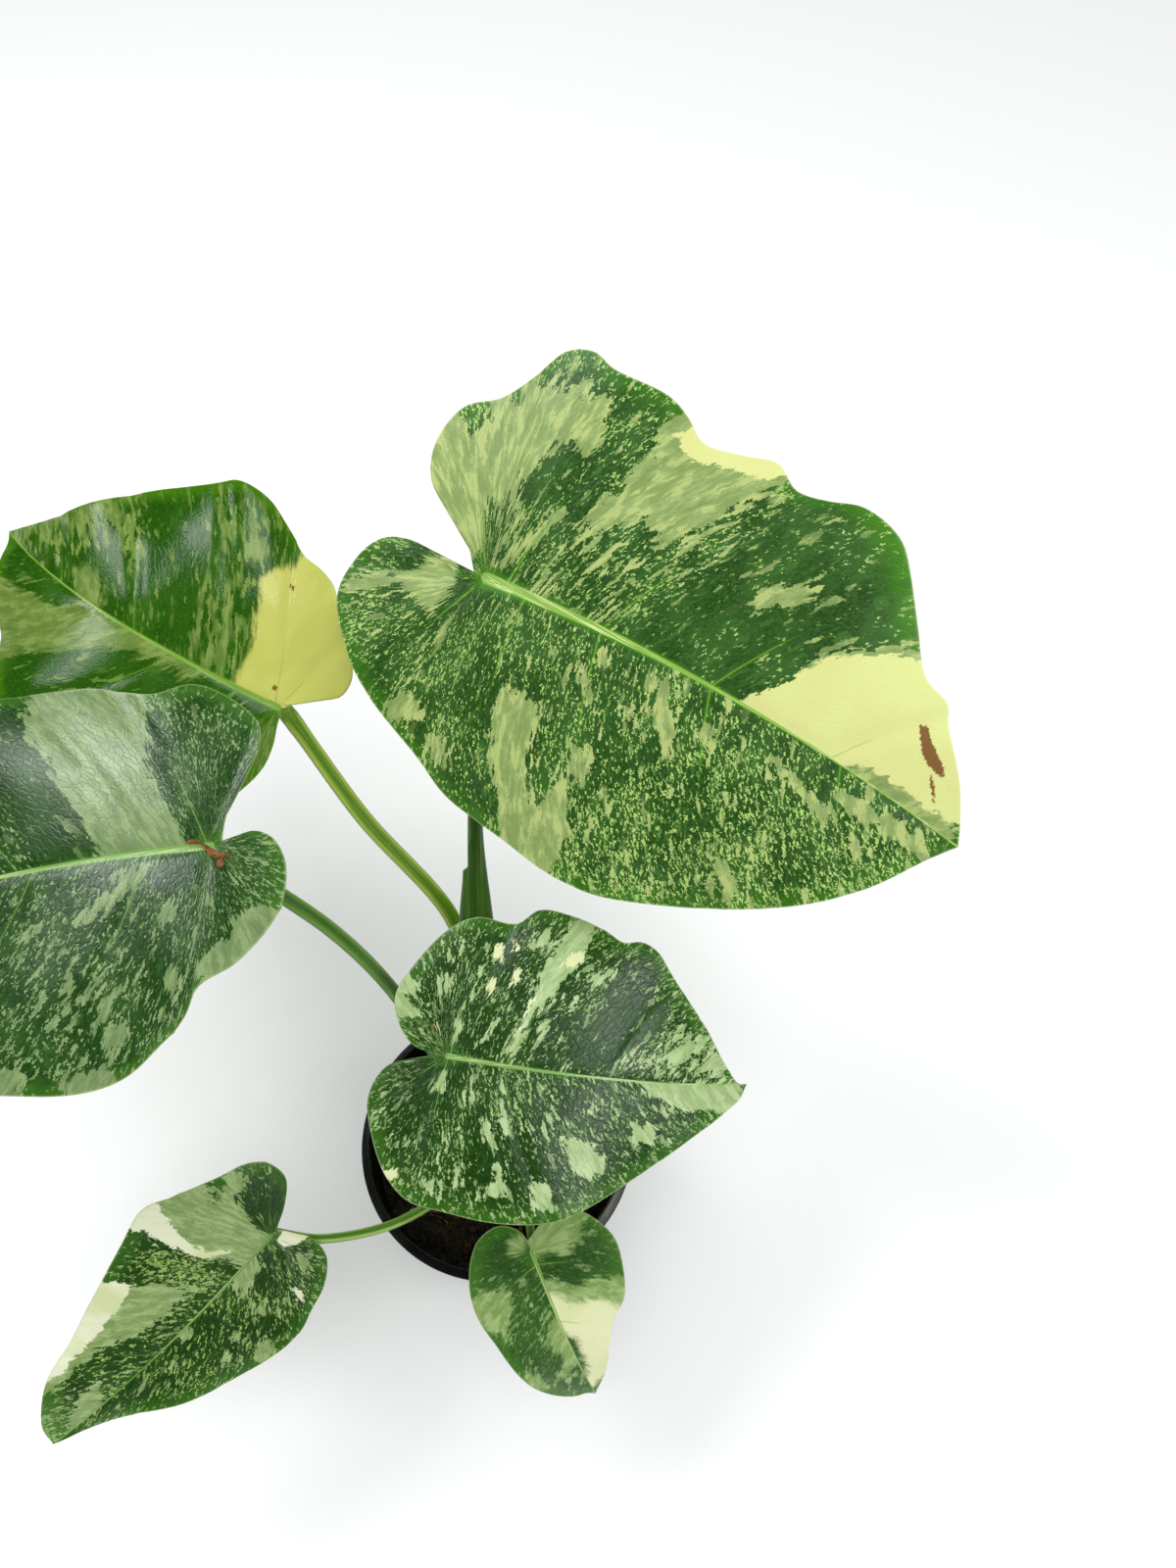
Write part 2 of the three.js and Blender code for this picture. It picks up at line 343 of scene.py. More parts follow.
def unit(vectors: Array) -> Array:
    """Brings each row to a length of 1, by dividing it by its own length."""
    return vectors / np.linalg.norm(vectors, axis=1, keepdims=True)


def smoothstep(low: float, high: float, value: Array) -> Array:
    """Rises from 0 at low to 1 at high: with t the share of the way, t squared times (3 - 2t)."""
    share = np.clip((np.asarray(value, dtype=float) - low) / (high - low), 0, 1)
    return share * share * (3 - 2 * share)


def smooth_line(points: Array, steps: int = 40) -> Array:
    """Draws a centripetal Catmull-Rom curve through points.

    Each span is a cubic whose slope at an end is weighted by the square roots of the distances between
    the points about it, and the first and last points are mirrored to give the outer spans a neighbour.

    Args:
        points: n by 2 or n by 3.
        steps: places for each span.

    Returns:
        The places on the curve, with both ends.
    """
    padded = np.concatenate([[2 * points[0] - points[1]], points, [2 * points[-1] - points[-2]]])
    before, here, there, after = padded[:-3], padded[1:-2], padded[2:-1], padded[3:]
    spans = ((before, here), (here, there), (there, after))
    gaps = [np.sqrt(np.linalg.norm(b - a, axis=1))[:, None] for a, b in spans]
    out = (here - before) / gaps[0] - (there - before) / (gaps[0] + gaps[1]) + (there - here) / gaps[1]
    into = (there - here) / gaps[1] - (after - here) / (gaps[1] + gaps[2]) + (after - there) / gaps[2]
    out, into = out * gaps[1], into * gaps[1]
    t = (np.arange(steps) / steps)[None, :, None]
    a, b, u, v = here[:, None], there[:, None], out[:, None], into[:, None]
    places = a + u * t + (3 * (b - a) - 2 * u - v) * t**2 + (2 * (a - b) + u + v) * t**3
    return np.concatenate([places.reshape(-1, points.shape[1]), points[-1:]])


def along_line(line: Array, shares: Array) -> Array:
    """Finds the places at given shares of a line's length.

    Args:
        line: places along the line.
        shares: shares of its length, 0 to 1.

    Returns:
        One place for each share.
    """
    lengths = np.concatenate([[0], np.cumsum(np.linalg.norm(np.diff(line, axis=0), axis=1))])
    places = [np.interp(shares * lengths[-1], lengths, line[:, k]) for k in range(line.shape[1])]
    return np.stack(places, axis=-1)


def lattice_noise(x: Array, y: Array, cell: float, seed: int, octaves: int = 1) -> Array:
    """Smooth random heights, about -1 to 1.

    Random heights on a square lattice are blended by smoothstep between its points, and each further
    octave has half the cell and half the height.

    Args:
        x: first coordinate.
        y: second coordinate.
        cell: spacing of the first lattice.
        seed: seed of the random heights.
        octaves: how many lattices are added.

    Returns:
        A height for each place.
    """
    side, shift = 128, (31.7, 47.3)
    total = np.zeros_like(np.asarray(x, dtype=float))
    for octave in range(octaves):
        size = cell / 2**octave
        table = np.random.default_rng(seed + octave).uniform(-1, 1, (side, side))
        u, v = x / size + shift[0], y / size + shift[1]
        i, j = np.floor(u).astype(int), np.floor(v).astype(int)
        a, b = smoothstep(0, 1, u - i), smoothstep(0, 1, v - j)
        low, high = (
            table[i % side, k % side] * (1 - a) + table[(i + 1) % side, k % side] * a for k in (j, j + 1)
        )
        total += (low * (1 - b) + high * b) / 2**octave
    return total


def depth_inside(places: Array, outline: Array) -> Array:
    """Distance from an outline, above 0 inside it.

    The least distance to its sides, with the sign given by how many sides a level ray crosses.

    Args:
        places: n by 2.
        outline: k by 2, the corners in order.

    Returns:
        One distance for each place.
    """
    a = outline
    b = np.roll(a, -1, axis=0)
    side = b - a
    reach = places[:, None, :] - a[None]
    share = np.clip((reach * side).sum(axis=2) / (side * side).sum(axis=1), 0, 1)
    gap = np.linalg.norm(reach - share[:, :, None] * side, axis=2).min(axis=1)
    x, y = places[:, :1], places[:, 1:]
    rise = np.where(side[:, 1] == 0, 1e-9, side[:, 1])
    crosses = ((a[:, 1] > y) != (b[:, 1] > y)) & (x < (y - a[:, 1]) * side[:, 0] / rise + a[:, 0])
    return np.where(crosses.sum(axis=1) % 2 == 1, gap, -gap)


def tube(path: Array, reach: Array, across: Array, over: Array) -> Net:
    """Carries a profile along a path.

    Point (i, j) is the path's place i plus reach[i, j] along the direction that is cos j of over[i] and
    sin j of across[i]. The ends close on the path.

    Args:
        path: n by 3 places.
        reach: n by m distances from the path.
        across: n by 3, the direction to one side.
        over: n by 3, the direction out of the top.

    Returns:
        The points and the quads.
    """
    sides = reach.shape[1]
    angle = 2 * np.pi * np.arange(sides) / sides
    cos, sin = np.cos(angle)[None, :, None], np.sin(angle)[None, :, None]
    rings = path[:, None] + (over[:, None] * cos + across[:, None] * sin) * reach[:, :, None]
    ends = [np.repeat(path[at : at + 1, None], sides, axis=1) for at in (0, len(path) - 1)]
    rings = np.concatenate([ends[0], rings, ends[1]])
    closed = np.concatenate([rings, rings[:, :1]], axis=1)
    return closed.reshape(-1, 3), grid_quads(closed.shape[0], sides + 1, turned=True)


def turned_form(profile: Array, segments: int) -> tuple[Array, Array, Array]:
    """Turns a profile round the z axis.

    Args:
        profile: n by 2 of radius and height, from the middle of the underside outwards and up.
        segments: places round the axis.

    Returns:
        The points, the quads and the angle of each point.
    """
    angle = np.linspace(0, 2 * np.pi, segments + 1)
    angle[-1] = 0
    turned = np.broadcast_to(angle[None, :], (len(profile), segments + 1))
    x = profile[:, :1] * np.cos(turned)
    y = profile[:, :1] * np.sin(turned)
    z = np.broadcast_to(profile[:, 1:], turned.shape)
    points = np.stack([x, y, z], axis=-1).reshape(-1, 3)
    return points, grid_quads(len(profile), segments + 1, turned=True), turned.reshape(-1)


# Finishes


@dataclass(frozen=True)
class LeafTissue:
    """Living leaf with a thin waxy skin, satin from above and duller below.

    Where the outer cells have lost their green the leaf is mint, and where all have it is cream. Such
    cells grow outwards in lines, so the dark green carries pale specks about half a millimetre wide,
    angular flecks a few millimetres long and larger blots, all drawn out along the side veins. The
    three numbers of crowds are the shares of specks, flecks and blots all over; those of busy, flecked
    and plain are what such zones add to it. half is the share of cells that are only half pale, grain
    scales the flecks, drawn is how far they are drawn out, blur runs them into each other, and flush is
    how bright the tissue beside the ribs is. relief is the depth of the small veins in millimetres, and
    wax is how strongly the skin shines.
    """

    name: str
    dark: str
    mid: str
    speck: str
    bright: str
    mint: str
    mint_deep: str
    mint_pale: str
    cream: str
    cream_deep: str
    rib: str
    rib_pale: str
    scar: str = "#80592a"
    underside: str = "#a9ba86"
    crowds: Point3 = (0.12, 0.035, 0.015)
    busy: Point3 = (0.22, 0.04, 0.0)
    flecked: Point3 = (0.02, 0.15, 0.06)
    plain: Point3 = (-0.25, -0.07, -0.04)
    half: float = 0.08
    grain: float = 1.0
    drawn: float = 1.0
    flush: float = 0.4
    blur: float = 0.0
    relief: float = 0.06
    roughness: float = 0.4
    wax: float = 0.42

    def coordinates(self, tree: Tree, plane: Socket) -> list[Socket]:
        """Gives the coordinates round the margin and along the side veins.

        Side veins wander a little, so the coordinates along them are pushed about by broad noise. Finer
        noise then pushes them by half a millimetre more, which roughens the border of a cell.

        Args:
            tree: the material's tree.
            plane: coordinates in the flat leaf.

        Returns:
            The wandering coordinates and the frayed ones.
        """
        place = add_node(tree, "UVMap", uv_map="veins")
        found = []
        for scale, push in ((0.16, (3.0, 3.0, 0.0)), (1.1, (2.2, 3.6, 0.0))):
            sway = add_node(tree, "TexNoise", {"Vector": plane, "Scale": scale, "Detail": 2.0}, output=1)
            place = add_node(tree, "VectorMath", {0: sway, 1: push, 2: place}, operation="MULTIPLY_ADD")
            found.append(place)
        return found

    def patterns(self, tree: Tree, plane: Socket, veins: Socket, frayed: Socket) -> Sockets:
        """Draws the patterns of the tissue, by their sizes in millimetres.

        Args:
            tree: the material's tree.
            plane: coordinates in the flat leaf.
            veins: coordinates round the margin and along the side veins.
            frayed: the same, frayed.

        Returns:
            The values by name.
        """
        size, long = self.grain, self.grain * self.drawn
        return {
            "cloud": Grain(16, 30, 2).of(tree, plane),
            "tear": Grain(4 * size, 9 * size, 3, 0.6).of(tree, veins),
            "blotch": Grain(5 * size, 13 * size, 4, 0.62).of(tree, veins),
            "streak": Grain(3.4 * size, 70, 2).of(tree, veins),
            "thread": Grain(60, 0.5).of(tree, plane),
            "dust": Grain(0.9, 1.8, 2, 0.6, turn=-0.7).of(tree, plane),
            "speck": Grain(0.45, 1.0, cells=True, blur=self.blur).of(tree, frayed),
            "fleck": Grain(1.3 * size, 5 * long, cells=True, blur=self.blur).of(tree, frayed),
            "blot": Grain(2.6 * size, 9 * long, cells=True, blur=self.blur).of(tree, frayed),
        }

    def torn(self, tree: Tree, at: Sockets, grains: Sockets) -> Sockets:
        """Adds a share of each pattern to a value, which tears the border where the value crosses 0.

        A tone's value says how far inside its patches a place is. The last two stir the pale tissue and
        fray the margin. Near the hub, where the veins crowd, the shares are smaller.

        Args:
            tree: the material's tree.
            at: the values that the blade's points carry.
            grains: the patterns.

        Returns:
            The sums by name.
        """
        size = self.grain
        sums = {
            Tone.MINT: (
                at["mint"], {"tear": 11 * size, "fleck": 3 * size, "blot": 2 * size, "speck": 0.5}
            ),
            Tone.CREAM: (at["cream"], {"tear": 6 * size, "fleck": 1.6 * size, "blot": size, "speck": 0.4}),
            Tone.PLAIN: (at["plain"], {"tear": 14, "fleck": 2, "blot": 1.4}),
            Tone.BUSY: (at["busy"], {"tear": 16, "fleck": 2, "blot": 1.4}),
            Tone.FLECKED: (at["flecked"], {"tear": 16}),
            Tone.BRIGHT: (at["bright"], {"tear": 16}),
            Tone.SCAR: (at["scar"], {"dust": 2.5}),
            "stirred": (grains["blotch"], {"fleck": 0.1, "blot": 0.06, "speck": 0.05}),
            "frayed": (at["edge"], {"tear": 9, "fleck": 2}),
        }
        near_hub = {"Value": at["hub"], "From Min": 2, "From Max": 18, "To Min": 0.3}
        spread = add_node(tree, "MapRange", near_hub)
        total = {}
        for key, (value, shares) in sums.items():
            torn = -0.5 * sum(shares.values())
            for name, share in shares.items():
                inputs = {0: grains[name], 1: share, 2: torn}
                torn = add_node(tree, "Math", inputs, operation="MULTIPLY_ADD")
            inputs = {0: torn, 1: spread, 2: value}
            total[key] = add_node(tree, "Math", inputs, operation="MULTIPLY_ADD")
        return total

    def masks(self, tree: Tree, at: Sockets, grains: Sockets) -> Sockets:
        """Makes the masks that are ranges of one value, each with its smooth start, stop and strength.

        Args:
            tree: the material's tree.
            at: the values that the blade's points carry.
            grains: the patterns.

        Returns:
            The masks by name.
        """
        total = self.torn(tree, at, grains)
        ranges = {
            "mottle": (grains["dust"], 0.42, 0.64, 0.4),
            "shade": (grains["cloud"], 0.4, 0.65, 0.5),
            "yellowed": (grains["cloud"], 0.45, 0.62, 0.7),
            "rib": (at["rib"], 1.15, 0.7, 1.0),
            "rib_side": (at["rib"], 2.2, 1.2, self.flush),
            "thread": (grains["thread"], 0.5, 0.6, 0.9),
            "vein_side": (at["vein"], 1.5, 0.5, 0.5 * self.flush),
            "vein": (at["vein"], 0.45, 0.12, 0.55),
            "rim": (at["edge"], 0.7, 0.2, 0.28),
            "hub": (at["hub"], 8, 2, 0.5 * self.flush + 0.2),
            "deep": (total["stirred"], 0.49, 0.43, 0.8),
            "pale": (total["stirred"], 0.52, 0.58, 0.85),
            "verge": (total["frayed"], 9, 1, 0.5),
            Tone.SCAR: (total[Tone.SCAR], -0.25, 0.35, 1.0),
        }
        softness = {
            Tone.MINT: 0.2, Tone.CREAM: 0.25, Tone.PLAIN: 3, Tone.BUSY: 4, Tone.FLECKED: 4,
            Tone.BRIGHT: 9,
        }
        for tone, soft in softness.items():
            reach = soft + 2 * self.blur
            ranges[tone] = (total[tone], -reach, reach, 1.0)
        masks = {}
        for key, (value, start, stop, strength) in ranges.items():
            inputs = {"Value": value, "From Min": start, "From Max": stop, "To Max": strength}
            masks[key] = add_node(tree, "MapRange", inputs, interpolation_type="SMOOTHSTEP")

        # Fine lines beside the veins, where the streaks' value crosses its middle
        off = add_node(tree, "Math", {0: grains["streak"], 1: 0.5}, operation="SUBTRACT")
        off = add_node(tree, "Math", {0: off}, operation="ABSOLUTE")
        inputs = {"Value": off, "From Min": 0.016, "From Max": 0.004, "To Max": 0.25}
        masks["line"] = add_node(tree, "MapRange", inputs)
        inputs = {0: masks["thread"], 1: masks["rib"]}
        masks["thread"] = add_node(tree, "Math", inputs, operation="MULTIPLY")
        return masks

    def pale_cells(self, tree: Tree, grains: Sockets, masks: Sockets) -> Sockets:
        """Picks the pale cells of each mosaic: those whose random value is over 1 less the crowd there.

        The crowd is the share of cells that are pale: more in busy zones, fewer in plain ones, and
        uneven all over. The cells next in rank are half pale.

        Args:
            tree: the material's tree.
            grains: the patterns.
            masks: the masks of the zones.

        Returns:
            The masks of the pale and the half pale cells.
        """
        found = {}
        step = 0.015 + 0.12 * self.blur
        zones = zip(self.busy, self.flecked, self.plain)
        kinds = zip(("speck", "fleck", "blot"), self.crowds, zones, (0.55, 0.2, 0.08))
        for key, base, added, drift in kinds:
            inputs = {0: grains["cloud"], 1: drift, 2: base - 0.5 * drift}
            crowd = add_node(tree, "Math", inputs, operation="MULTIPLY_ADD")
            for zone, share in zip((Tone.BUSY, Tone.FLECKED, Tone.PLAIN), added):
                inputs = {0: masks[zone], 1: share, 2: crowd}
                crowd = add_node(tree, "Math", inputs, operation="MULTIPLY_ADD")
            crowd = add_node(tree, "Math", {0: crowd, 1: 0.01}, operation="MAXIMUM")
            lifted = add_node(tree, "Math", {0: grains[key], 1: crowd}, operation="ADD")
            levels = {key: (1.0, 1.0)}
            if key != "blot":
                levels[f"half_{key}"] = (1 - self.half, 0.7)
            for name, (level, strength) in levels.items():
                inputs = {"Value": lifted, "From Min": level - step, "From Max": level + step}
                found[name] = add_node(tree, "MapRange", inputs | {"To Max": strength})
        return found

    def colour(self, tree: Tree, masks: Sockets) -> Socket:
        """Lays the coats over each other: mint, cream, and then the whole face from the ground up.

        Args:
            tree: the material's tree.
            masks: where each coat shows.

        Returns:
            The colour.
        """
        coats = {
            "mint": (self.mint, (("deep", self.mint_deep), ("pale", self.mint_pale), ("line", self.mid))),
            "cream": (self.cream, (("yellowed", self.cream_deep), ("line", self.cream_deep))),
            "whole": (
                self.dark,
                (
                    ("shade", self.mid), ("mottle", self.mid), ("verge", self.bright),
                    (Tone.BRIGHT, self.bright), ("hub", self.bright), ("half_speck", self.mid),
                    ("half_fleck", self.mid), ("line", self.mid), ("vein_side", self.bright),
                    ("speck", self.speck), ("rib_side", self.bright), ("fleck", "mint"),
                    ("blot", "mint"), (Tone.MINT, "mint"), (Tone.CREAM, "cream"),
                    ("vein", self.rib), ("rim", self.rib_pale), ("rib", self.rib),
                    ("thread", self.rib_pale), (Tone.SCAR, self.scar),
                    ("underside", self.underside),
                ),
            ),
        }
        blend = {}
        for layer, (ground, over) in coats.items():
            blend[layer] = linear(ground)
            for key, code in over:
                coat = blend[code] if code in blend else linear(code)
                inputs = {0: masks[key], 6: blend[layer], 7: coat}
                blend[layer] = add_node(tree, "Mix", inputs, data_type="RGBA", output=2)
        return blend["whole"]

    def skin(self, upper: bool) -> Material:
        """Builds the material of one face.

        Args:
            upper: whether it is the upper face; the lower one is paler, duller and has deeper veins.

        Returns:
            The material.
        """
        face = "upper" if upper else "lower"
        material, tree, shader = new_material(f"leaf_{self.name}_{face}_waxy_tissue")
        plane = add_node(tree, "UVMap", uv_map="plane")
        names = [tone.value for tone in Tone] + ["rib", "vein", "edge", "hub"]
        at = {n: add_node(tree, "Attribute", attribute_name=n, output="Fac") for n in names}
        veins, frayed = self.coordinates(tree, plane)
        grains = self.patterns(tree, plane, veins, frayed)
        masks = self.masks(tree, at, grains)
        masks |= self.pale_cells(tree, grains, masks)
        masks["underside"] = 0.0 if upper else 0.35
        tree.links.new(self.colour(tree, masks), shader.inputs["Base Color"])

        # The net of small veins between the side veins, and the pores' fine grain
        lie = {"Vector": veins, "Scale": (2.6, 4.2, 1.0)}
        cells = {"Vector": add_node(tree, "Mapping", lie, vector_type="TEXTURE"), "Scale": 1.0}
        net = add_node(tree, "TexVoronoi", cells, voronoi_dimensions="2D", feature="DISTANCE_TO_EDGE")
        shallow = add_node(tree, "MapRange", {"Value": net, "From Min": 0.0, "From Max": 0.16})
        inputs = {0: grains["dust"], 1: 0.5, 2: shallow}
        height = add_node(tree, "Math", inputs, operation="MULTIPLY_ADD")
        depth = self.relief if upper else 2.5 * self.relief
        bump = add_node(tree, "Bump", {"Height": height, "Distance": depth * MM, "Strength": 0.7})
        tree.links.new(bump, shader.inputs["Normal"])
        dull = self.roughness if upper else self.roughness + 0.2
        inputs = {"Value": grains["cloud"], "From Min": 0.3, "From Max": 0.7}
        gloss = add_node(tree, "MapRange", inputs | {"To Min": dull - 0.05, "To Max": dull + 0.07})
        tree.links.new(gloss, shader.inputs["Roughness"])
        shader.inputs["IOR"].default_value = 1.45
        shader.inputs["Specular IOR Level"].default_value = self.wax if upper else 0.25
        return material


@dataclass(frozen=True)
class StalkTissue:
    """Smooth living stalk: green with long pale threads, which give it a drawn-out silky look.

    The groove up its inner side is painted darker, as painted shade, and the ridge on each side of the
    groove is paler.
    """

    name: str
    base: str
    shade: str
    pale: str
    foot: str
    bruise: str = "#46300f"
    ridge: float = 0.6
    roughness: float = 0.4

    def skin(self) -> Material:
        """Builds the material: length runs up the stalk on the second UV axis, in millimetres."""
        material, tree, shader = new_material(f"stalk_{self.name}_living_green")
        place = add_node(tree, "UVMap", uv_map="length")
        names = ("up", "ridge", "groove", "bruise")
        at = {n: add_node(tree, "Attribute", attribute_name=n, output="Fac") for n in names}
        threads = Grain(0.8, 45, 3, 0.6).of(tree, place)
        blotch = Grain(3, 16, 3, 0.6).of(tree, place)
        spots = Grain(0.7, 1.2, 1).of(tree, place)
        torn = {}
        for name, share in (("ridge", 0.7), ("bruise", 1.2)):
            inputs = {0: blotch, 1: share, 2: at[name]}
            torn[name] = add_node(tree, "Math", inputs, operation="MULTIPLY_ADD")
        colour = linear(self.base)
        for value, start, stop, strength, code in (
            # Painted shade: the groove is darkened with the shade colour.
            (at["groove"], 0.2, 0.8, 0.8, self.shade),
            (threads, 0.47, 0.66, 0.4, self.pale),
            (torn["ridge"], 0.6, 1.1, self.ridge, self.pale),
            (at["up"], 0.25, 0.0, 0.8, self.foot),
            (spots, 0.66, 0.72, 0.3, self.pale),
            (torn["bruise"], 1.1, 1.3, 0.85, self.bruise),
        ):
            inputs = {"Value": value, "From Min": start, "From Max": stop, "To Max": strength}
            mask = add_node(tree, "MapRange", inputs, interpolation_type="SMOOTHSTEP")
            inputs = {0: mask, 6: colour, 7: linear(code)}
            colour = add_node(tree, "Mix", inputs, data_type="RGBA", output=2)
        tree.links.new(colour, shader.inputs["Base Color"])
        bump = add_node(tree, "Bump", {"Height": threads, "Distance": 0.12 * MM, "Strength": 0.6})
        tree.links.new(bump, shader.inputs["Normal"])
        shader.inputs["Roughness"].default_value = self.roughness
        shader.inputs["Specular IOR Level"].default_value = 0.3
        return material


@dataclass(frozen=True)
class Earth:
    """Moist potting mix: matt crumbs in near-black browns, lighter where a crumb has dried."""

    name: str
    dark: str
    light: str
    grit: float
    roughness: float = 0.92

    def skin(self) -> Material:
        """Builds the material: two sizes of blotch, and a rough bump of the same grit."""
        material, tree, shader = new_material(f"{self.name}_potting_mix")
        place = add_node(tree, "TexCoord", output="Object")
        coarse = Grain(self.grit * 4, self.grit * 4, 3, 0.6).of(tree, place, 1 / MM)
        fine = Grain(self.grit, self.grit, 4, 0.7).of(tree, place, 1 / MM)
        joint = add_node(tree, "Math", {0: coarse, 1: fine}, operation="MULTIPLY")
        share = add_node(tree, "MapRange", {"Value": joint, "From Min": 0.16, "From Max": 0.42})
        inputs = {0: share, 6: linear(self.dark), 7: linear(self.light)}
        colour = add_node(tree, "Mix", inputs, data_type="RGBA", output=2)
        tree.links.new(colour, shader.inputs["Base Color"])
        depth = 0.6 * self.grit * MM
        bump = add_node(tree, "Bump", {"Height": fine, "Distance": depth, "Strength": 0.9})
        tree.links.new(bump, shader.inputs["Normal"])
        shader.inputs["Roughness"].default_value = self.roughness
        shader.inputs["Specular IOR Level"].default_value = 0.2
        return material


@dataclass(frozen=True)
class MouldedPlastic:
    """Black polypropylene, injection moulded: a soft even sheen, with soil dust, and a pale patch on one
    side that is a painted highlight.
    """

    colour: str = "#0c0f0d"
    dust: str = "#4a463c"
    painted_sheen: str = "#3c3f2e"
    roughness: float = 0.3

    def skin(self) -> Material:
        """Builds the material: fine mould grain about 0.4 mm, rubbed marks and dust in streaks."""
        material, tree, shader = new_material("pot_moulded_black_polypropylene")
        place = add_node(tree, "TexCoord", output="Object")
        grain = Grain(0.4, 0.4, 2).of(tree, place, 1 / MM)
        rubs = Grain(9, 9, 4, 0.65).of(tree, place, 1 / MM)
        specks = Grain(1.3, 1.3, 3, 0.7).of(tree, place, 1 / MM)
        dusty, sheen_painted = (
            add_node(tree, "Attribute", attribute_name=name, output="Fac") for name in ("dusty", "sheen_painted")
        )
        inputs = {"Value": specks, "From Min": 0.55, "From Max": 0.75, "To Max": 0.7}
        dust = add_node(tree, "MapRange", inputs)
        dusted = add_node(tree, "Math", {0: dust, 1: dusty}, operation="MULTIPLY")
        colour = linear(self.colour)
        # The pale patch on one side of the collar and lip is a painted highlight.
        for share, code in ((dusted, self.dust), (sheen_painted, self.painted_sheen)):
            inputs = {0: share, 6: colour, 7: linear(code)}
            colour = add_node(tree, "Mix", inputs, data_type="RGBA", output=2)
        tree.links.new(colour, shader.inputs["Base Color"])
        inputs = {"Value": rubs, "From Min": 0.3, "From Max": 0.7}
        shine = {"To Min": self.roughness - 0.06, "To Max": self.roughness + 0.14}
        gloss = add_node(tree, "MapRange", inputs | shine)
        tree.links.new(gloss, shader.inputs["Roughness"])
        bump = add_node(tree, "Bump", {"Height": grain, "Distance": 0.04 * MM, "Strength": 0.6})
        tree.links.new(bump, shader.inputs["Normal"])
        shader.inputs["IOR"].default_value = 1.49
        return material


# Leaves


@dataclass(frozen=True)
class Relief:
    """The relief of a blade, on a blade of the largest length: heights and half widths of its forms.

    quilt is the bulge between two side veins, channel the groove over the midrib, cord a side vein and
    ridge the midrib under the blade, and lip the rounding of the margin.
    """

    quilt: float = 0.6
    quilt_reach: float = 7
    channel: float = 0.6
    channel_reach: float = 2.1
    cord: float = 0.55
    cord_reach: float = 0.9
    ridge_tip: float = 0.3
    ridge: float = 1.9
    ridge_tip_reach: float = 1.4
    ridge_reach: float = 1.1
    lip: float = 0.16
    lip_reach: float = 0.7
    sway: float = 0.5
    sway_cell: float = 26


@dataclass(frozen=True)
class StalkForm:
    """The section of a stalk, as shares of its radius, and what changes on the way up.

    The groove lies along the middle of the inner side, and a wing on each side of it at wing_angle
    radians. knee_down is how far below the joint the knee swells. A wide sheath spreads between two
    heights; on one side it runs out slowly, and on the other it narrows and then stops with a step.
    """

    steps: int = 200
    sides: int = 36
    foot_swell: float = 0.14
    knee_swell: float = 0.1
    knee_down: float = 11
    taper: float = 0.05
    groove: float = 0.16
    groove_width: float = 0.42
    wing: float = 0.34
    wing_angle: float = 0.62
    wing_width: float = 0.17
    wrinkle: float = 0.012
    sheath_spread: Point2 = (102, 150)
    slow_end: Point2 = (184, 236)
    torn_part: Point2 = (188, 214)
    torn_share: float = 0.55
    torn_end: Point2 = (212, 213.5)


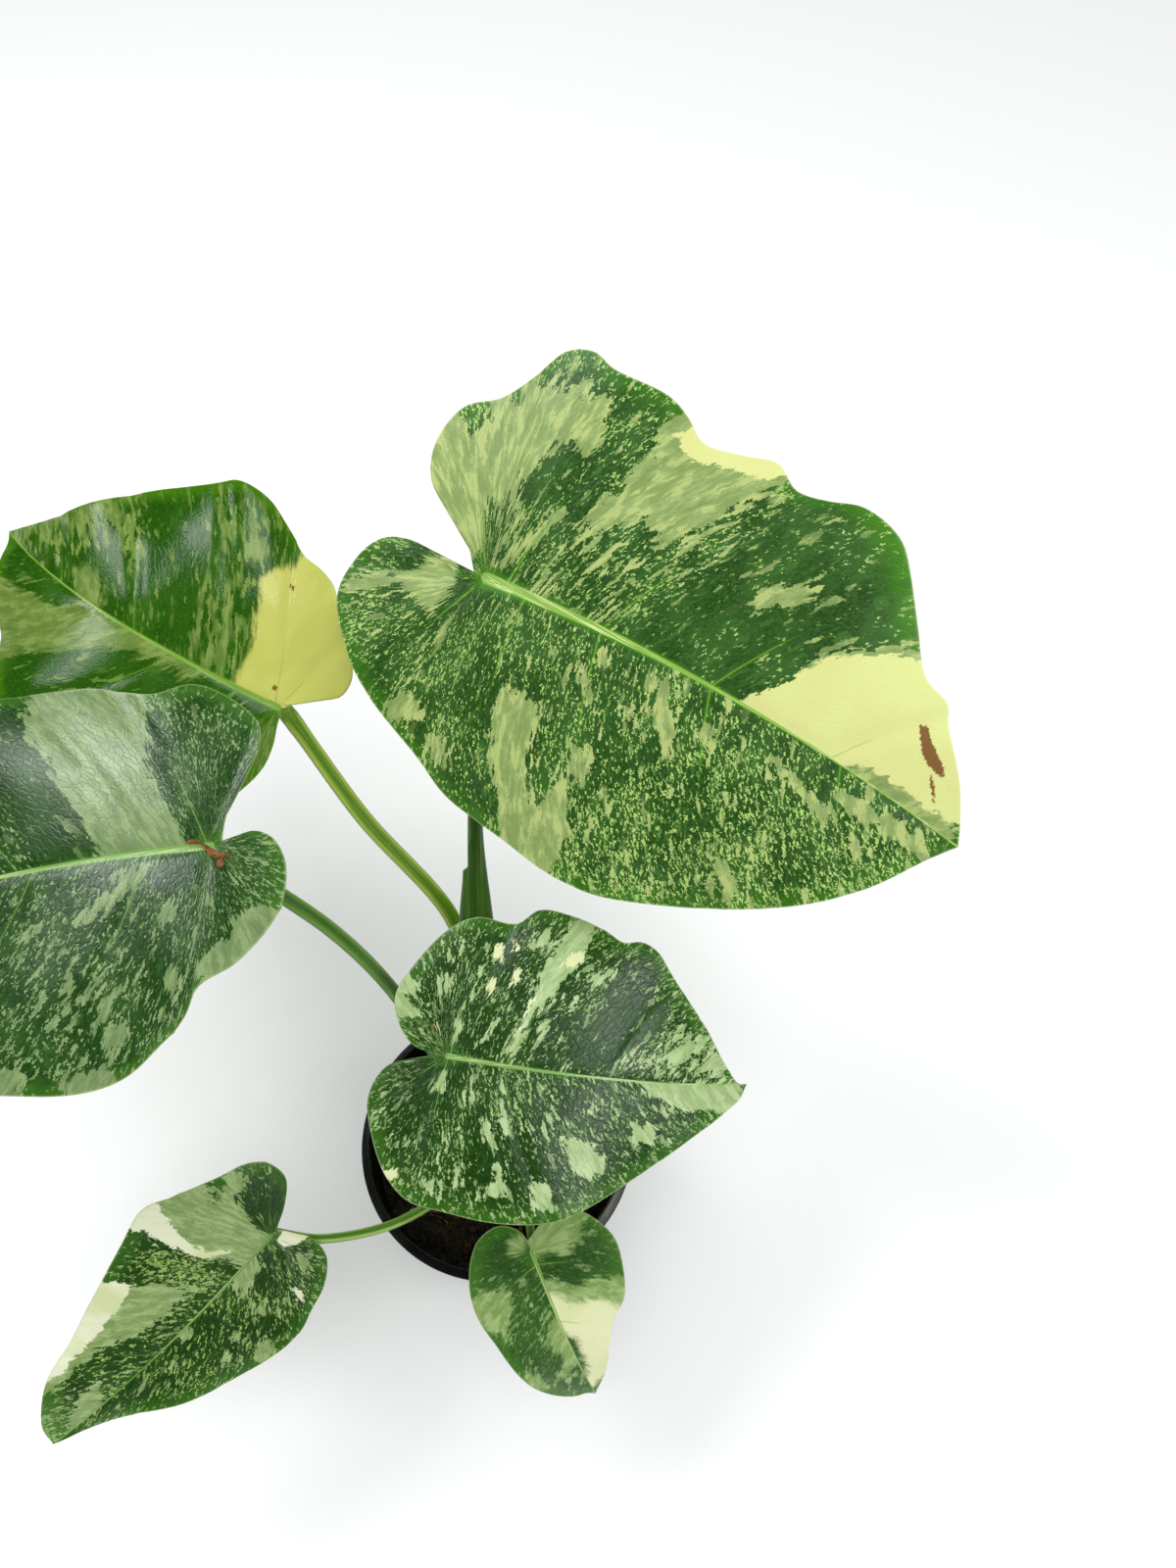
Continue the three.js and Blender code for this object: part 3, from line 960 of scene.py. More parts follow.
@dataclass(frozen=True)
class Leaf:
    """One leaf: a blade on its stalk.

    The blade is laid out flat in its own frame: x runs from the joint to the tip, y to the left and z
    out of the upper face. heading and fall turn the x axis, and roll turns the blade about it. arch
    lifts the middle, fold lifts the sides, curl lowers the margins and bow bends the midrib sideways.
    rib is the midrib's half width at the joint. path is the stalk from the soil up, sheath the share of
    it that carries two thin wings, flare how far those stand out, and blemish the share of its length
    at which a brown bruise sits.
    """

    letter: str
    joint: Point3
    heading: float
    fall: float
    roll: float
    length: float
    arch: float
    fold: float
    bow: float
    waves: float
    ripple: float
    phase: tuple[float, float]
    notch: Point2
    left: Outline
    right: Outline
    radius: float
    path: tuple[tuple[float, ...], ...]
    tissue: LeafTissue
    stalk: StalkTissue
    veins: tuple[tuple[float, ...], tuple[float, ...]]
    marks: dict[Tone, tuple[tuple[float, ...], ...]] = field(default_factory=dict)
    curl: float = 0.35
    rib: float = 1.9
    sheath: float = 0.5
    flare: float = 0
    blemish: float = 2
    rows: int = 170
    columns: int = 44
    seed: int = 1
    relief: Relief = Relief()
    form: StalkForm = StalkForm()

    def axes(self) -> Array:
        """Gives the leaf's own axes as rows.

        x points by heading and fall, y lies level, z is square to both, and y and z are then turned
        about x by roll.

        Returns:
            3 by 3, one axis a row.
        """
        heading, fall, roll = np.radians([self.heading, self.fall, self.roll])
        x = np.array([np.cos(fall) * np.cos(heading), np.cos(fall) * np.sin(heading), -np.sin(fall)])
        y = np.array([-np.sin(heading), np.cos(heading), 0])
        z = np.cross(x, y)
        return np.array([x, y * np.cos(roll) + z * np.sin(roll), z * np.cos(roll) - y * np.sin(roll)])

    def hump(self, x: Array) -> Array:
        """An even hump over the midrib, 1 at its middle: with s the share of the length, 4s(1 - s)."""
        share = x / self.length
        return 4 * share * (1 - share)

    def beside_midrib(self, x: Array, y: Array) -> Array:
        """Gives how far each place lies to the left of the bowed midrib."""
        return y - self.bow * np.maximum(self.hump(x), 0)

    def rise(self, x: Array, y: Array, along: Array, across: Array, phase: float) -> Array:
        """Height of the blade above its flat plane.

        The arch times the hump; the fold times the distance from the midrib, rounded near it; less the
        curl times that distance squared over the length; and the margin's waves, which fade inwards as
        across squared and towards both ends.

        Args:
            x: place along the leaf.
            y: place across it.
            along: the net's first parameter.
            across: the net's second parameter.
            phase: where the waves start.

        Returns:
            The height at each place.
        """
        side = np.abs(self.beside_midrib(x, y))
        soft = np.hypot(side, MIDRIB_SOFTNESS) - MIDRIB_SOFTNESS
        bent = self.arch * self.hump(x) + self.fold * soft - self.curl * side**2 / self.length
        fade = across**2 * np.sqrt(np.maximum(np.sin(np.pi * along), 0))
        return bent + self.ripple * fade * np.sin(2 * np.pi * (self.waves * along + phase))

    def shares(self) -> tuple[Array, Array]:
        """Spaces the net: even rows and more at the side veins, and columns closer at both ends."""
        nudges = np.array([-4, -2, -1, 0, 1, 2, 4]) * 0.35 / self.length
        near_veins = (np.array(self.veins[0] + self.veins[1])[:, None] + nudges).reshape(-1)
        along = np.unique(np.round(np.concatenate([np.linspace(0, 1, self.rows), near_veins]), 5))
        even = np.linspace(0, 1, self.columns)
        across = 0.55 * even + 0.45 * (0.5 - 0.5 * np.cos(np.pi * even))
        return along, across

    def depths(self, side: Side, tone: Tone, places: Array, margin: Array) -> Array:
        """Finds how deep each place lies in the patches of one tone that are on one half.

        A corner that clings to the midrib or the margin is carried past it, so that a patch which ends
        there has no ragged border along it.

        Args:
            side: which half.
            tone: which patches.
            places: n by 2 places in the flat leaf.
            margin: the half's margin from the notch to the tip.

        Returns:
            One distance for each place, above 0 inside a patch.
        """
        way = unit(np.gradient(margin, axis=0))
        out = side.value * np.stack([-way[:, 1], way[:, 0]], axis=1)
        deepest = np.full(len(places), -FIELD_REACH, dtype=float)
        for patch in self.marks.get(tone, ()):
            corners = np.array(patch, dtype=float).reshape(-1, 2)
            off = side.value * self.beside_midrib(corners[:, 0], corners[:, 1])
            if off.mean() < 0:
                continue
            gap = np.linalg.norm(corners[:, None] - margin[None], axis=2)
            at_rib = (off < CLING) & (corners[:, 0] > 0)
            at_edge = (gap.min(axis=1) < CLING) & ~at_rib
            corners[at_rib, 1] -= side.value * OVERLAP
            corners[at_edge] += OVERLAP * out[gap.argmin(axis=1)[at_edge]]
            deepest = np.maximum(deepest, depth_inside(places, corners))
        return np.clip(deepest, -FIELD_REACH, FIELD_REACH)

    def flat_net(self, side: Side) -> tuple[Array, Array, Array]:
        """Lays out the net of one half, flat.

        A side vein is a parabola from its start on the midrib to its end on the margin, pulled towards
        the tip. Ends are spaced evenly round the margin. Starts stay at the joint for the first third
        of the net, which makes a fan, and then slide up the midrib.

        Args:
            side: which half.

        Returns:
            The margin's line, the places as rows by columns by 2, and the length of each row.
        """
        outline = (self.notch, *(self.left, self.right)[side.index], (self.length, 0))
        line = smooth_line(np.array(outline, dtype=float))
        along, across = self.shares()
        end = along_line(line, along)
        end[0], end[-1] = line[0], line[-1]
        slide = np.clip((along - FAN_SHARE) / (1 - FAN_SHARE), 0, 1) ** START_POWER
        start = np.stack([self.length * slide, self.bow * 4 * slide * (1 - slide)], axis=-1)
        bend = VEIN_BEND * side.value * smoothstep(FAN_SHARE / 2, 1.3 * FAN_SHARE, along)[:, None]
        chord = end - start
        middle = (start + end) / 2 + bend * np.stack([-chord[:, 1], chord[:, 0]], axis=-1)
        t = across[None, :, None]
        flat = (1 - t) ** 2 * start[:, None] + 2 * t * (1 - t) * middle[:, None] + t**2 * end[:, None]
        return line, flat, np.linalg.norm(chord, axis=1)[:, None]

    def half(self, side: Side) -> dict[str, Array | dict]:
        """Works out one half of the blade.

        Both faces follow the leaf's rise and its broad random sway. The quilting between the veins and
        the channel over the midrib are added to the upper face; the cords of the side veins and the
        ridge of the midrib, which fall off as exp(-d squared) beside them, stand out of the lower one.

        Args:
            side: which half.

        Returns:
            The upper and lower points in the leaf's frame, and the values that the materials read.
        """
        line, flat, reach = self.flat_net(side)
        along, across = self.shares()
        x, y = flat[..., 0], flat[..., 1]
        a = np.broadcast_to(along[:, None], x.shape)
        c = np.broadcast_to(across[None, :], x.shape)

        # Distances that shape the relief: from the margin, from the midrib and from the next side vein
        edge = (1 - c) * reach
        rib = np.where(x < 0, np.hypot(x, y), np.abs(self.beside_midrib(x, y)))
        spread = np.linalg.norm(np.gradient(flat, along, axis=0), axis=2)
        nearest = np.abs(along[:, None] - np.array(self.veins[side.index])).min(axis=1)
        vein = nearest[:, None] * spread
        merged = 1 - smoothstep(1.5, 5, 0.16 * spread)
        seen = vein / (0.3 + 0.7 * (1 - c) ** 2) + 1.5 * merged + 3 * smoothstep(0.3, 0.8, c)
        ends = smoothstep(0, 0.06, a) * smoothstep(0, 0.06, 1 - a) * smoothstep(0, 0.2, c)
        tail = np.clip(1 - x / self.length, 0, 1)

        form = self.relief
        size = self.length / LARGEST_BLADE
        sway = form.sway * size * lattice_noise(x, y, form.sway_cell * size + 6, self.seed, 2)
        rise = self.rise(x, y, a, c, self.phase[side.index]) + sway * smoothstep(0, 6, rib)
        quilt = ends * (smoothstep(0, form.quilt_reach * size, vein) - 0.5) * form.quilt * size
        channel = np.exp(-((rib / (form.channel_reach * size)) ** 2)) * tail**0.5 * form.channel * size
        lip = form.lip * (1 - smoothstep(0, form.lip_reach, edge))
        ridge_reach = form.ridge_tip_reach + form.ridge_reach * tail * size
        ridge = np.exp(-((rib / ridge_reach) ** 2)) * (form.ridge_tip + form.ridge * tail**1.3 * size)
        cords = ends * np.exp(-((vein / form.cord_reach) ** 2)) * form.cord * size
        proud = cords + ridge * smoothstep(-4, 1, x) * smoothstep(0, 3, edge)
        upper = rise + quilt - channel - lip
        lower = rise + quilt - BLADE_THICKNESS - proud + 1.6 * lip

        perimeter = np.linalg.norm(np.diff(line, axis=0), axis=1).sum()
        offset = RIGHT_HALF_OFFSET * side.index
        width = (0.15 + self.rib * tail**2.4) * size + 0.15
        hub = np.hypot(x, y)
        limits = {"rib": (rib / width, 8), "vein": (seen, 12), "edge": (edge, 12), "hub": (hub, 30)}
        values = {name: np.minimum(value.reshape(-1), most) for name, (value, most) in limits.items()}
        places = flat.reshape(-1, 2)
        values.update({tone.value: self.depths(side, tone, places, line) for tone in Tone})
        return {
            "upper": np.stack([x, y, upper], axis=-1),
            "lower": np.stack([x, y, lower], axis=-1),
            "values": values,
            "veins": np.stack([a * perimeter + offset, c * reach], axis=-1),
            "plane": np.stack([x, np.abs(y) + offset], axis=-1),
        }

    def blade(self) -> bpy.types.Object:
        """Builds the blade: both halves' upper and lower faces and the margin between them.

        Returns:
            The finished piece.
        """
        nets, slots = [], []
        fields: dict[str, list[Array]] = {}
        maps: dict[str, list[Array]] = {"veins": [], "plane": []}
        for side in Side:
            half = self.half(side)
            rows, columns, _ = half["upper"].shape
            each = rows * columns
            faces_down = side is Side.LEFT
            top = grid_quads(rows, columns, turned=not faces_down)
            under = grid_quads(rows, columns, each, turned=faces_down)
            rim = np.arange(rows) * columns + columns - 1
            strip = np.stack([rim[:-1], rim[1:], rim[1:] + each, rim[:-1] + each], axis=1)
            strip = strip if side is Side.LEFT else strip[:, ::-1]
            both = np.concatenate([half["upper"].reshape(-1, 3), half["lower"].reshape(-1, 3)])
            nets.append((both, np.concatenate([top, under, strip])))
            slots += [np.zeros(len(top)), np.ones(len(under)), np.zeros(len(strip))]
            for key, value in half["values"].items():
                fields.setdefault(key, []).extend([value, value])
            for key, layers in maps.items():
                layers.extend([half[key].reshape(-1, 2)] * 2)
        local, quads = gather(nets)
        piece = make_piece(
            f"blade_{self.letter}_marbled",
            local @ self.axes() + np.array(self.joint),
            quads,
            [self.tissue.skin(True), self.tissue.skin(False)],
            np.concatenate(slots).astype(int),
            {key: np.concatenate(value) for key, value in fields.items()},
            {key: np.concatenate(value) for key, value in maps.items()},
        )
        settle(piece, "leaf", f"blade_{self.letter}")
        return piece

    def stalk_line(self) -> tuple[Array, Array, Array, float]:
        """Finds the stalk's middle line, which enters the blade square to its face.

        At each place, across is square to the line and level on the whole, and over is square to both
        and looks to the inner side.

        Returns:
            The places, the directions across and over at each, and the line's length.
        """
        axes = self.axes()
        outward = np.array([4 * self.arch / self.length, 0, -1])
        outward = outward / np.linalg.norm(outward) @ axes
        joint = np.array(self.joint)
        (root_x, root_y), *bends = self.path
        fixed = [(root_x, root_y, ROOTED_Z), (root_x, root_y, SOIL_CENTRE_Z + 1), *bends]
        ends = [joint + KNEE_LENGTH * outward, joint + 1.3 * outward]
        line = smooth_line(np.concatenate([np.array(fixed, dtype=float), ends]))
        places = along_line(line, np.linspace(0, 1, self.form.steps))
        forward = unit(np.gradient(places, axis=0))
        away = np.array([self.joint[0] - root_x, self.joint[1] - root_y, 0.0])
        over = unit(np.cross(forward, np.cross((0, 0, 1), away / np.linalg.norm(away))))
        return places, np.cross(forward, over), over, np.linalg.norm(np.diff(line, axis=0), axis=1).sum()

    def stalk_reach(self, up: Array, z: Array, length: float) -> Array:
        """Gives the stalk's section at each place of its line.

        The radius, times 1 with the swellings of foot and knee, the groove, the wings and the wrinkles
        of the knee added as bumps, and rounded off at the top; and then the wide sheath, which stands
        out of both sides as the sixth power of the sine.

        Args:
            up: each place's share of the line.
            z: each place's height.
            length: the line's length.

        Returns:
            The distances from the line, places by sides.
        """
        form = self.form
        angle = 2 * np.pi * np.arange(form.sides) / form.sides
        from_top = np.abs(np.angle(np.exp(1j * angle)))[None, :]
        s, z = up[:, None], z[:, None]
        to_end = (1 - s) * length
        knee = form.knee_swell * np.exp(-(((to_end - form.knee_down) / 7) ** 2))
        swell = 1 + form.foot_swell * (1 - smoothstep(0, 0.35, s)) + knee - form.taper * s
        run = smoothstep(0.04, 0.12, s) * (1 - smoothstep(0.8, 0.95, s))
        groove = form.groove * np.exp(-((from_top / form.groove_width) ** 2)) * run
        wing_end = 1 - smoothstep(self.sheath - 0.015, self.sheath + 0.01, s)
        wing = np.exp(-(((from_top - form.wing_angle) / form.wing_width) ** 2))
        wing = form.wing * wing * wing_end * smoothstep(0.05, 0.15, s)
        wrinkle = np.sin(to_end * 4.2) * np.exp(-(((to_end - form.knee_down) / 6) ** 2))
        rounded = np.sqrt(np.clip(1 - np.clip(1 - to_end / (0.8 * self.radius), 0, 1) ** 2, 0.16, 1))
        slow_side = 1 - smoothstep(*form.slow_end, z)
        torn_side = 1 - form.torn_share * smoothstep(*form.torn_part, z)
        torn_side = torn_side * (1 - smoothstep(*form.torn_end, z))
        sine = np.sin(angle)[None, :]
        sheath = np.where(sine < 0, torn_side, slow_side) * sine**6 * smoothstep(*form.sheath_spread, z)
        stalk = self.radius * (swell - groove + wing + form.wrinkle * wrinkle) * rounded
        return stalk + self.flare * sheath

    def petiole(self) -> bpy.types.Object:
        """Builds the stalk: its section carried up the line from the soil to the joint.

        Returns:
            The finished piece.
        """
        places, across, over, length = self.stalk_line()
        up = np.linspace(0, 1, self.form.steps)
        points, quads = tube(places, self.stalk_reach(up, places[:, 2], length), across, over)

        # What the material reads: the height, and bands beside and in the groove, all round the stalk
        level_up = np.concatenate([[0], up, [1]])[:, None]
        around = np.linspace(0, 2 * np.pi, self.form.sides + 1)[None, :]
        off_top = np.abs(np.angle(np.exp(1j * around)))
        run = smoothstep(0.12, 0.2, level_up) * (1 - smoothstep(0.93, 0.99, level_up))
        bruised = np.exp(-(((level_up - self.blemish) / 0.025) ** 2))
        bruised = bruised * np.exp(-(((around - 1.1) / 0.5) ** 2))
        values = {
            "up": level_up + 0 * around,
            "ridge": np.exp(-(((off_top - 0.85) / 0.3) ** 2)) * run,
            "groove": np.exp(-((off_top / 0.4) ** 2)) * run,
            "bruise": bruised,
        }
        girth, run_up = np.broadcast_arrays(around * self.radius, level_up * length)
        piece = make_piece(
            f"petiole_{self.letter}_grooved",
            points,
            quads,
            [self.stalk.skin()],
            fields={name: value.reshape(-1) for name, value in values.items()},
            maps={"length": np.stack([girth, run_up], axis=-1).reshape(-1, 2)},
        )
        settle(piece, "petiole", f"petiole_{self.letter}")
        return piece


TISSUES = {
    "a": LeafTissue(
        "a", dark="#214610", mid="#3f6e28", speck="#a8c86c", bright="#3f8000", mint="#8fa561",
        mint_deep="#7f9552", mint_pale="#b2c074", cream="#d4d78a", cream_deep="#d3dc8c", rib="#86b044",
        rib_pale="#d3e3a0", busy=(0.11, 0.05, 0.01), flecked=(0.02, 0.08, 0.04),
        plain=(-0.12, -0.05, -0.04), flush=0.8,
    ),
    # Leaf b's colours are set darker and yellower than the other leaves': painted shade for a leaf that
    # lies in shade, lit through from behind.
    "b": LeafTissue(
        "b", dark="#1f480a", mid="#356412", speck="#5f8530", bright="#4c840c", mint="#68813a",
        mint_deep="#5c7634", mint_pale="#7c924a", cream="#bdbf62", cream_deep="#b5b758", rib="#72983a",
        rib_pale="#93ad52", crowds=(0.02, 0.14, 0.1), busy=(0.05, 0.4, 0.32), blur=0.9, roughness=0.14,
        wax=0.12, flecked=(0.06, 0.2, 0.1), relief=0.02, flush=0.5,
    ),
    "c": LeafTissue(
        "c", dark="#193a0f", mid="#355d20", speck="#85a268", bright="#477f18", mint="#768e5a",
        mint_deep="#6a8150", mint_pale="#899e67", cream="#cdd49c", cream_deep="#c2cc8e", rib="#76a04c",
        rib_pale="#bccb8e", crowds=(0.1, 0.018, 0.008), grain=0.8, relief=0.05, roughness=0.3,
        flecked=(0.0, 0.05, 0.03), busy=(0.1, 0.05, 0.02), drawn=0.9, wax=0.6, flush=0.35,
    ),
    "d": LeafTissue(
        "d", dark="#173809", mid="#2b5417", speck="#8fae66", bright="#437a1a", mint="#a1b97e",
        mint_deep="#94ae70", mint_pale="#b1c78f", cream="#d8dea8", cream_deep="#cbd498", rib="#789f4e",
        rib_pale="#bfd196", crowds=(0.12, 0.03, 0.018), grain=0.7, relief=0.08, drawn=0.8, roughness=0.3,
        wax=0.5, busy=(0.25, 0.12, 0.12), flush=0.25,
    ),
    "e": LeafTissue(
        "e", dark="#163707", mid="#2b5412", speck="#8fae58", bright="#3f7715", mint="#869e62",
        mint_deep="#769050", mint_pale="#9ab072", cream="#dcdfc0", cream_deep="#c2cc8c", rib="#628a38",
        rib_pale="#9cb672", crowds=(0.11, 0.035, 0.012), grain=0.65, drawn=0.6, flush=0.2,
        busy=(0.3, 0.06, 0.0),
    ),
    "f": LeafTissue(
        "f", dark="#244b13", mid="#3c6624", speck="#6f9048", bright="#457c18", mint="#87a25e",
        mint_deep="#78944c", mint_pale="#9cb474", cream="#d8dbac", cream_deep="#cfd69e", rib="#6f9840",
        rib_pale="#bccb8a", crowds=(0.12, 0.1, 0.06), grain=0.7, blur=0.8, roughness=0.45, drawn=0.6,
        flush=0.3,
    ),
}
STALKS = {
    "a": StalkTissue("a", base="#2c510d", shade="#23450a", pale="#4f7418", foot="#5b6a32", ridge=0.3),
    "b": StalkTissue("b", base="#5f861a", shade="#44700e", pale="#a3b548", foot="#6a7326", ridge=0.85),
    "c": StalkTissue("c", base="#44701a", shade="#274d08", pale="#6c9434", foot="#5b6a32", ridge=0.6),
    "d": StalkTissue("d", base="#3f6818", shade="#274d08", pale="#6c9434", foot="#5b6a32"),
    "e": StalkTissue("e", base="#5d8a2b", shade="#3c6c14", pale="#a4b868", foot="#8a8a4c", ridge=0.8),
    "f": StalkTissue("f", base="#5b7c2a", shade="#426419", pale="#94a65a", foot="#70733c"),
}

# The patches of each leaf: a patch is x and y of each corner by turns, x to the tip and y to the left
MARKS_A = {
    Tone.MINT: (
        (-5, 1, -12, 8, -20, 13, -26, 15, -35, 20, -40, 26, -41, 33, -40, 41, -37, 46, -31, 42, -29, 44,
         -27, 49, -28, 55, -23, 61, -20, 60, -19, 65, -14, 67, -12, 73, -10, 74, -6, 72, -1, 75, 2, 72,
         9, 76, 11, 71, 12, 66, 14, 61, 13, 52, 9, 54, 7, 57, 4, 57, 2, 55, -1, 49, -2, 44, -5, 39,
         -5, 34, -2, 27, -4, 26, -8, 30, -7, 24, -4, 18, -7, 20, -11, 25, -13, 25, -10, 18, -6, 8, -4, 2),
        (-1, 3, -1, 9, -2, 18, -1, 25, 1, 28, 3, 27, 2, 25, 1, 19, 1, 14, 0, 10),
        (0, 5, 3, 11, 4, 18, 6, 23, 8, 26, 10, 31, 13, 35, 13, 32, 11, 27, 13, 23, 11, 19, 9, 16, 6, 10,
         3, 6),
        (22, 31, 22, 40, 29, 50, 26, 54, 31, 65, 29, 79, 36, 83, 45, 79, 62, 80, 71, 85, 81, 79, 71, 69,
         64, 62, 63, 54, 55, 46, 48, 40, 40, 45, 32, 37),
        (88, 37, 86, 42, 92, 48, 103, 55, 106, 52, 100, 44),
        (111, 21, 118, 34, 126, 43, 138, 51, 148, 52, 156, 46, 131, 39, 122, 30),
        (-47, -30, -40, -21, -27, -12, -19, -5, -7, -4, -9, -14, -12, -22, -21, -20, -29, -18, -41, -29),
        (23, -39, 25, -30, 31, -29, 39, -29, 43, -40, 47, -53, 56, -63, 58, -54, 58, -47, 65, -52,
         72, -67, 74, -82, 59, -82, 46, -75, 39, -63, 31, -53),
        (56, -39, 62, -32, 67, -43, 65, -49), (66, -15, 69, -13, 74, -18, 74, -23),
        (68, -1, 76, 1, 82, -7, 91, -19, 90, -23, 82, -16), (92, -10, 95, -5, 99, -9, 97, -13),
        (120, -5, 127, -3, 141, -8, 156, -14, 141, -14),
        (144, -5, 151, -2, 169, -2, 181, -2, 188, -6, 175, -8, 160, -8),
        (115, -44, 118, -42, 127, -47, 139, -54, 132, -57, 123, -50),
        (-11, -63, -10, -51, -2, -51, 4, -56, -4, -62), (7, -62, 13, -59, 20, -68, 15, -71),
        (43, -10, 50, -11, 59, -22, 51, -19), (46, -2, 51, 0, 53, -5), (14, -7, 15, -4, 18, -6, 17, -11),
        (134, 8, 142, 18, 163, 22, 176, 22, 189, 18, 194, 3, 182, 3, 160, 7),
    ),
    Tone.CREAM: (
        (35, 75, 37, 82, 44, 79, 62, 81, 71, 85, 80, 78, 68, 77, 45, 71),
        (90, 4, 111, 21, 121, 36, 137, 47, 152, 47, 166, 40, 180, 25, 189, 15, 193, 8, 188, 6, 176, 8,
         163, 9, 150, 9, 136, 7, 120, 5),
    ),
    Tone.PLAIN: (
        (-4, 30, -5, 39, -1, 49, 4, 57, 9, 54, 10, 44, 6, 32),
        (49, 8, 70, 42, 87, 79, 105, 87, 125, 80, 146, 56, 121, 36, 111, 21, 94, 8),
    ),
    Tone.FLECKED: (
        (2, 2, 23, 31, 48, 39, 64, 55, 74, 75, 86, 78, 80, 62, 69, 43, 48, 9, 27, 5),
    ),
    Tone.BUSY: (
        (100, -8, 190, -4, 160, -45, 100, -80, 40, -80, 72, -45),
    ),
    Tone.BRIGHT: (
        (98, 88, 118, 85, 137, 74, 150, 54, 142, 50, 132, 62, 118, 76),
    ),
    Tone.SCAR: (
        (159, 31, 162, 32, 165, 29, 169, 26, 174, 23, 177, 20, 175, 19, 170, 20, 165, 23, 162, 27),
        (172, 17, 173, 18, 176, 15, 180, 9, 178, 10, 175, 14),
    ),
}
MARKS_B = {
    Tone.MINT: (
        (41, 5, 50, -12, 56, -24, 53, -22, 44, -8), (25, 4, 37, -16, 33, -15, 22, 3),
        (122, -43, 117, -42, 92, -24, 94, -22, 110, -34), (129, -6, 111, -8, 97, 2, 106, 4, 126, -1),
        (176, 18, 158, 18, 127, 16, 88, 8, 60, 7, 33, 7, 40, 9, 68, 12, 87, 20, 130, 43, 138, 52,
         155, 40),
        (10, 30, 22, 34, 40, 50, 36, 60, 20, 46), (36, -52, 42, -44, 50, -46, 47, -55),
        (40, -34, 45, -27, 50, -33, 46, -38), (30, -24, 29, -14, 33, -12, 35, -22),
        (60, -56, 57, -48, 62, -46, 66, -54),
    ),
    Tone.CREAM: (
        (20, 3, 22, -13, 28, -29, 36, -40, 33, -46, 28, -52, 29, -62, 20, -62, 6, -57, -4, -50, -14, -40,
         -20, -28, -19, -18, -14, -12, -4, -8, 0, 0, 9, 3),
    ),
    Tone.PLAIN: (
        (120, -43, 107, -55, 85, -65, 76, -66, 64, -47, 57, -34, 51, -12, 41, 4, 62, 1, 81, -19, 92, -21,
         112, -38),
        (182, 4, 150, 2, 103, 3, 88, 7, 106, 11, 140, 14, 167, 16),
        (130, 43, 87, 20, 68, 11, 39, 8, 29, 6, 42, 15, 58, 28, 83, 38, 105, 49, 123, 63),
    ),
    Tone.FLECKED: (
        (56, -23, 79, -62, 67, -65, 46, -63, 31, -49, 33, -41, 28, -28, 19, -2, 23, 5, 36, 4),
    ),
    Tone.BUSY: (
        (190, 0, 177, -12, 141, -33, 121, -43, 92, -21, 118, -15, 152, -4),
        (-8, 10, 0, 46, 30, 70, 60, 78, 40, 40, 10, 8),
    ),
    Tone.BRIGHT: (
        (-10, 10, -12, 30, 10, 60, 50, 80, 70, 70, 30, 40, 4, 12),
    ),
    Tone.SCAR: (
        (24, -45, 21, -45, 21, -43, 24, -43), (6, -7, 4, -7, 4, -5, 6, -5),
    ),
}
MARKS_C = {
    Tone.MINT: (
        (74, 63, 65, 64, 66, 71, 74, 72), (53, 69, 41, 68, 36, 70, 36, 73, 45, 73, 53, 73),
        (58, -76, 46, -69, 41, -72, 30, -68, 14, -63, 17, -56, 18, -49, 17, -41, 18, -32, 15, -24, 9, -7,
         4, -1, 18, -1, 33, -3, 39, -10, 41, -18, 50, -31, 50, -38, 56, -48, 62, -58, 62, -68),
        (48, 21, 45, 17, 39, 15, 33, 11, 27, 4, 18, 3, 23, 9, 29, 14, 39, 19),
        (36, 6, 31, 3, 28, 4, 31, 7), (17, 24, 14, 18, 11, 18, 12, 22, 16, 27), (3, 21, 1, 17, 0, 22),
        (54, 31, 49, 26, 47, 29), (50, 43, 48, 37, 46, 38, 48, 43), (43, 26, 39, 24, 40, 28),
        (28, 48, 24, 37, 22, 37, 25, 45), (18, 53, 20, 57, 16, 50, 17, 44, 16, 41, 12, 43, 10, 47),
        (43, 57, 38, 48, 33, 46, 31, 48, 37, 52, 41, 58), (39, 61, 37, 57, 32, 56, 31, 60, 38, 65),
        (50, 49, 44, 43, 36, 37, 38, 42, 45, 47), (66, 21, 60, 16, 57, 18, 62, 22),
        (7, 44, 2, 37, -4, 33, -9, 25, -15, 24, -18, 29, -12, 39, -6, 46, 2, 49),
        (100, -30, 120, -50, 150, -34, 140, -12, 112, -8),
    ),
    Tone.CREAM: (
        (110, 12, 140, 20, 150, 32, 130, 50, 116, 36),
    ),
    Tone.PLAIN: (
        (68, -60, 61, -60, 50, -35, 43, -19, 37, -6, 50, -5, 60, -16, 70, -29),
    ),
    Tone.FLECKED: (
        (8, 30, 60, 30, 90, 40, 90, 68, 50, 76, 14, 62),
    ),
}
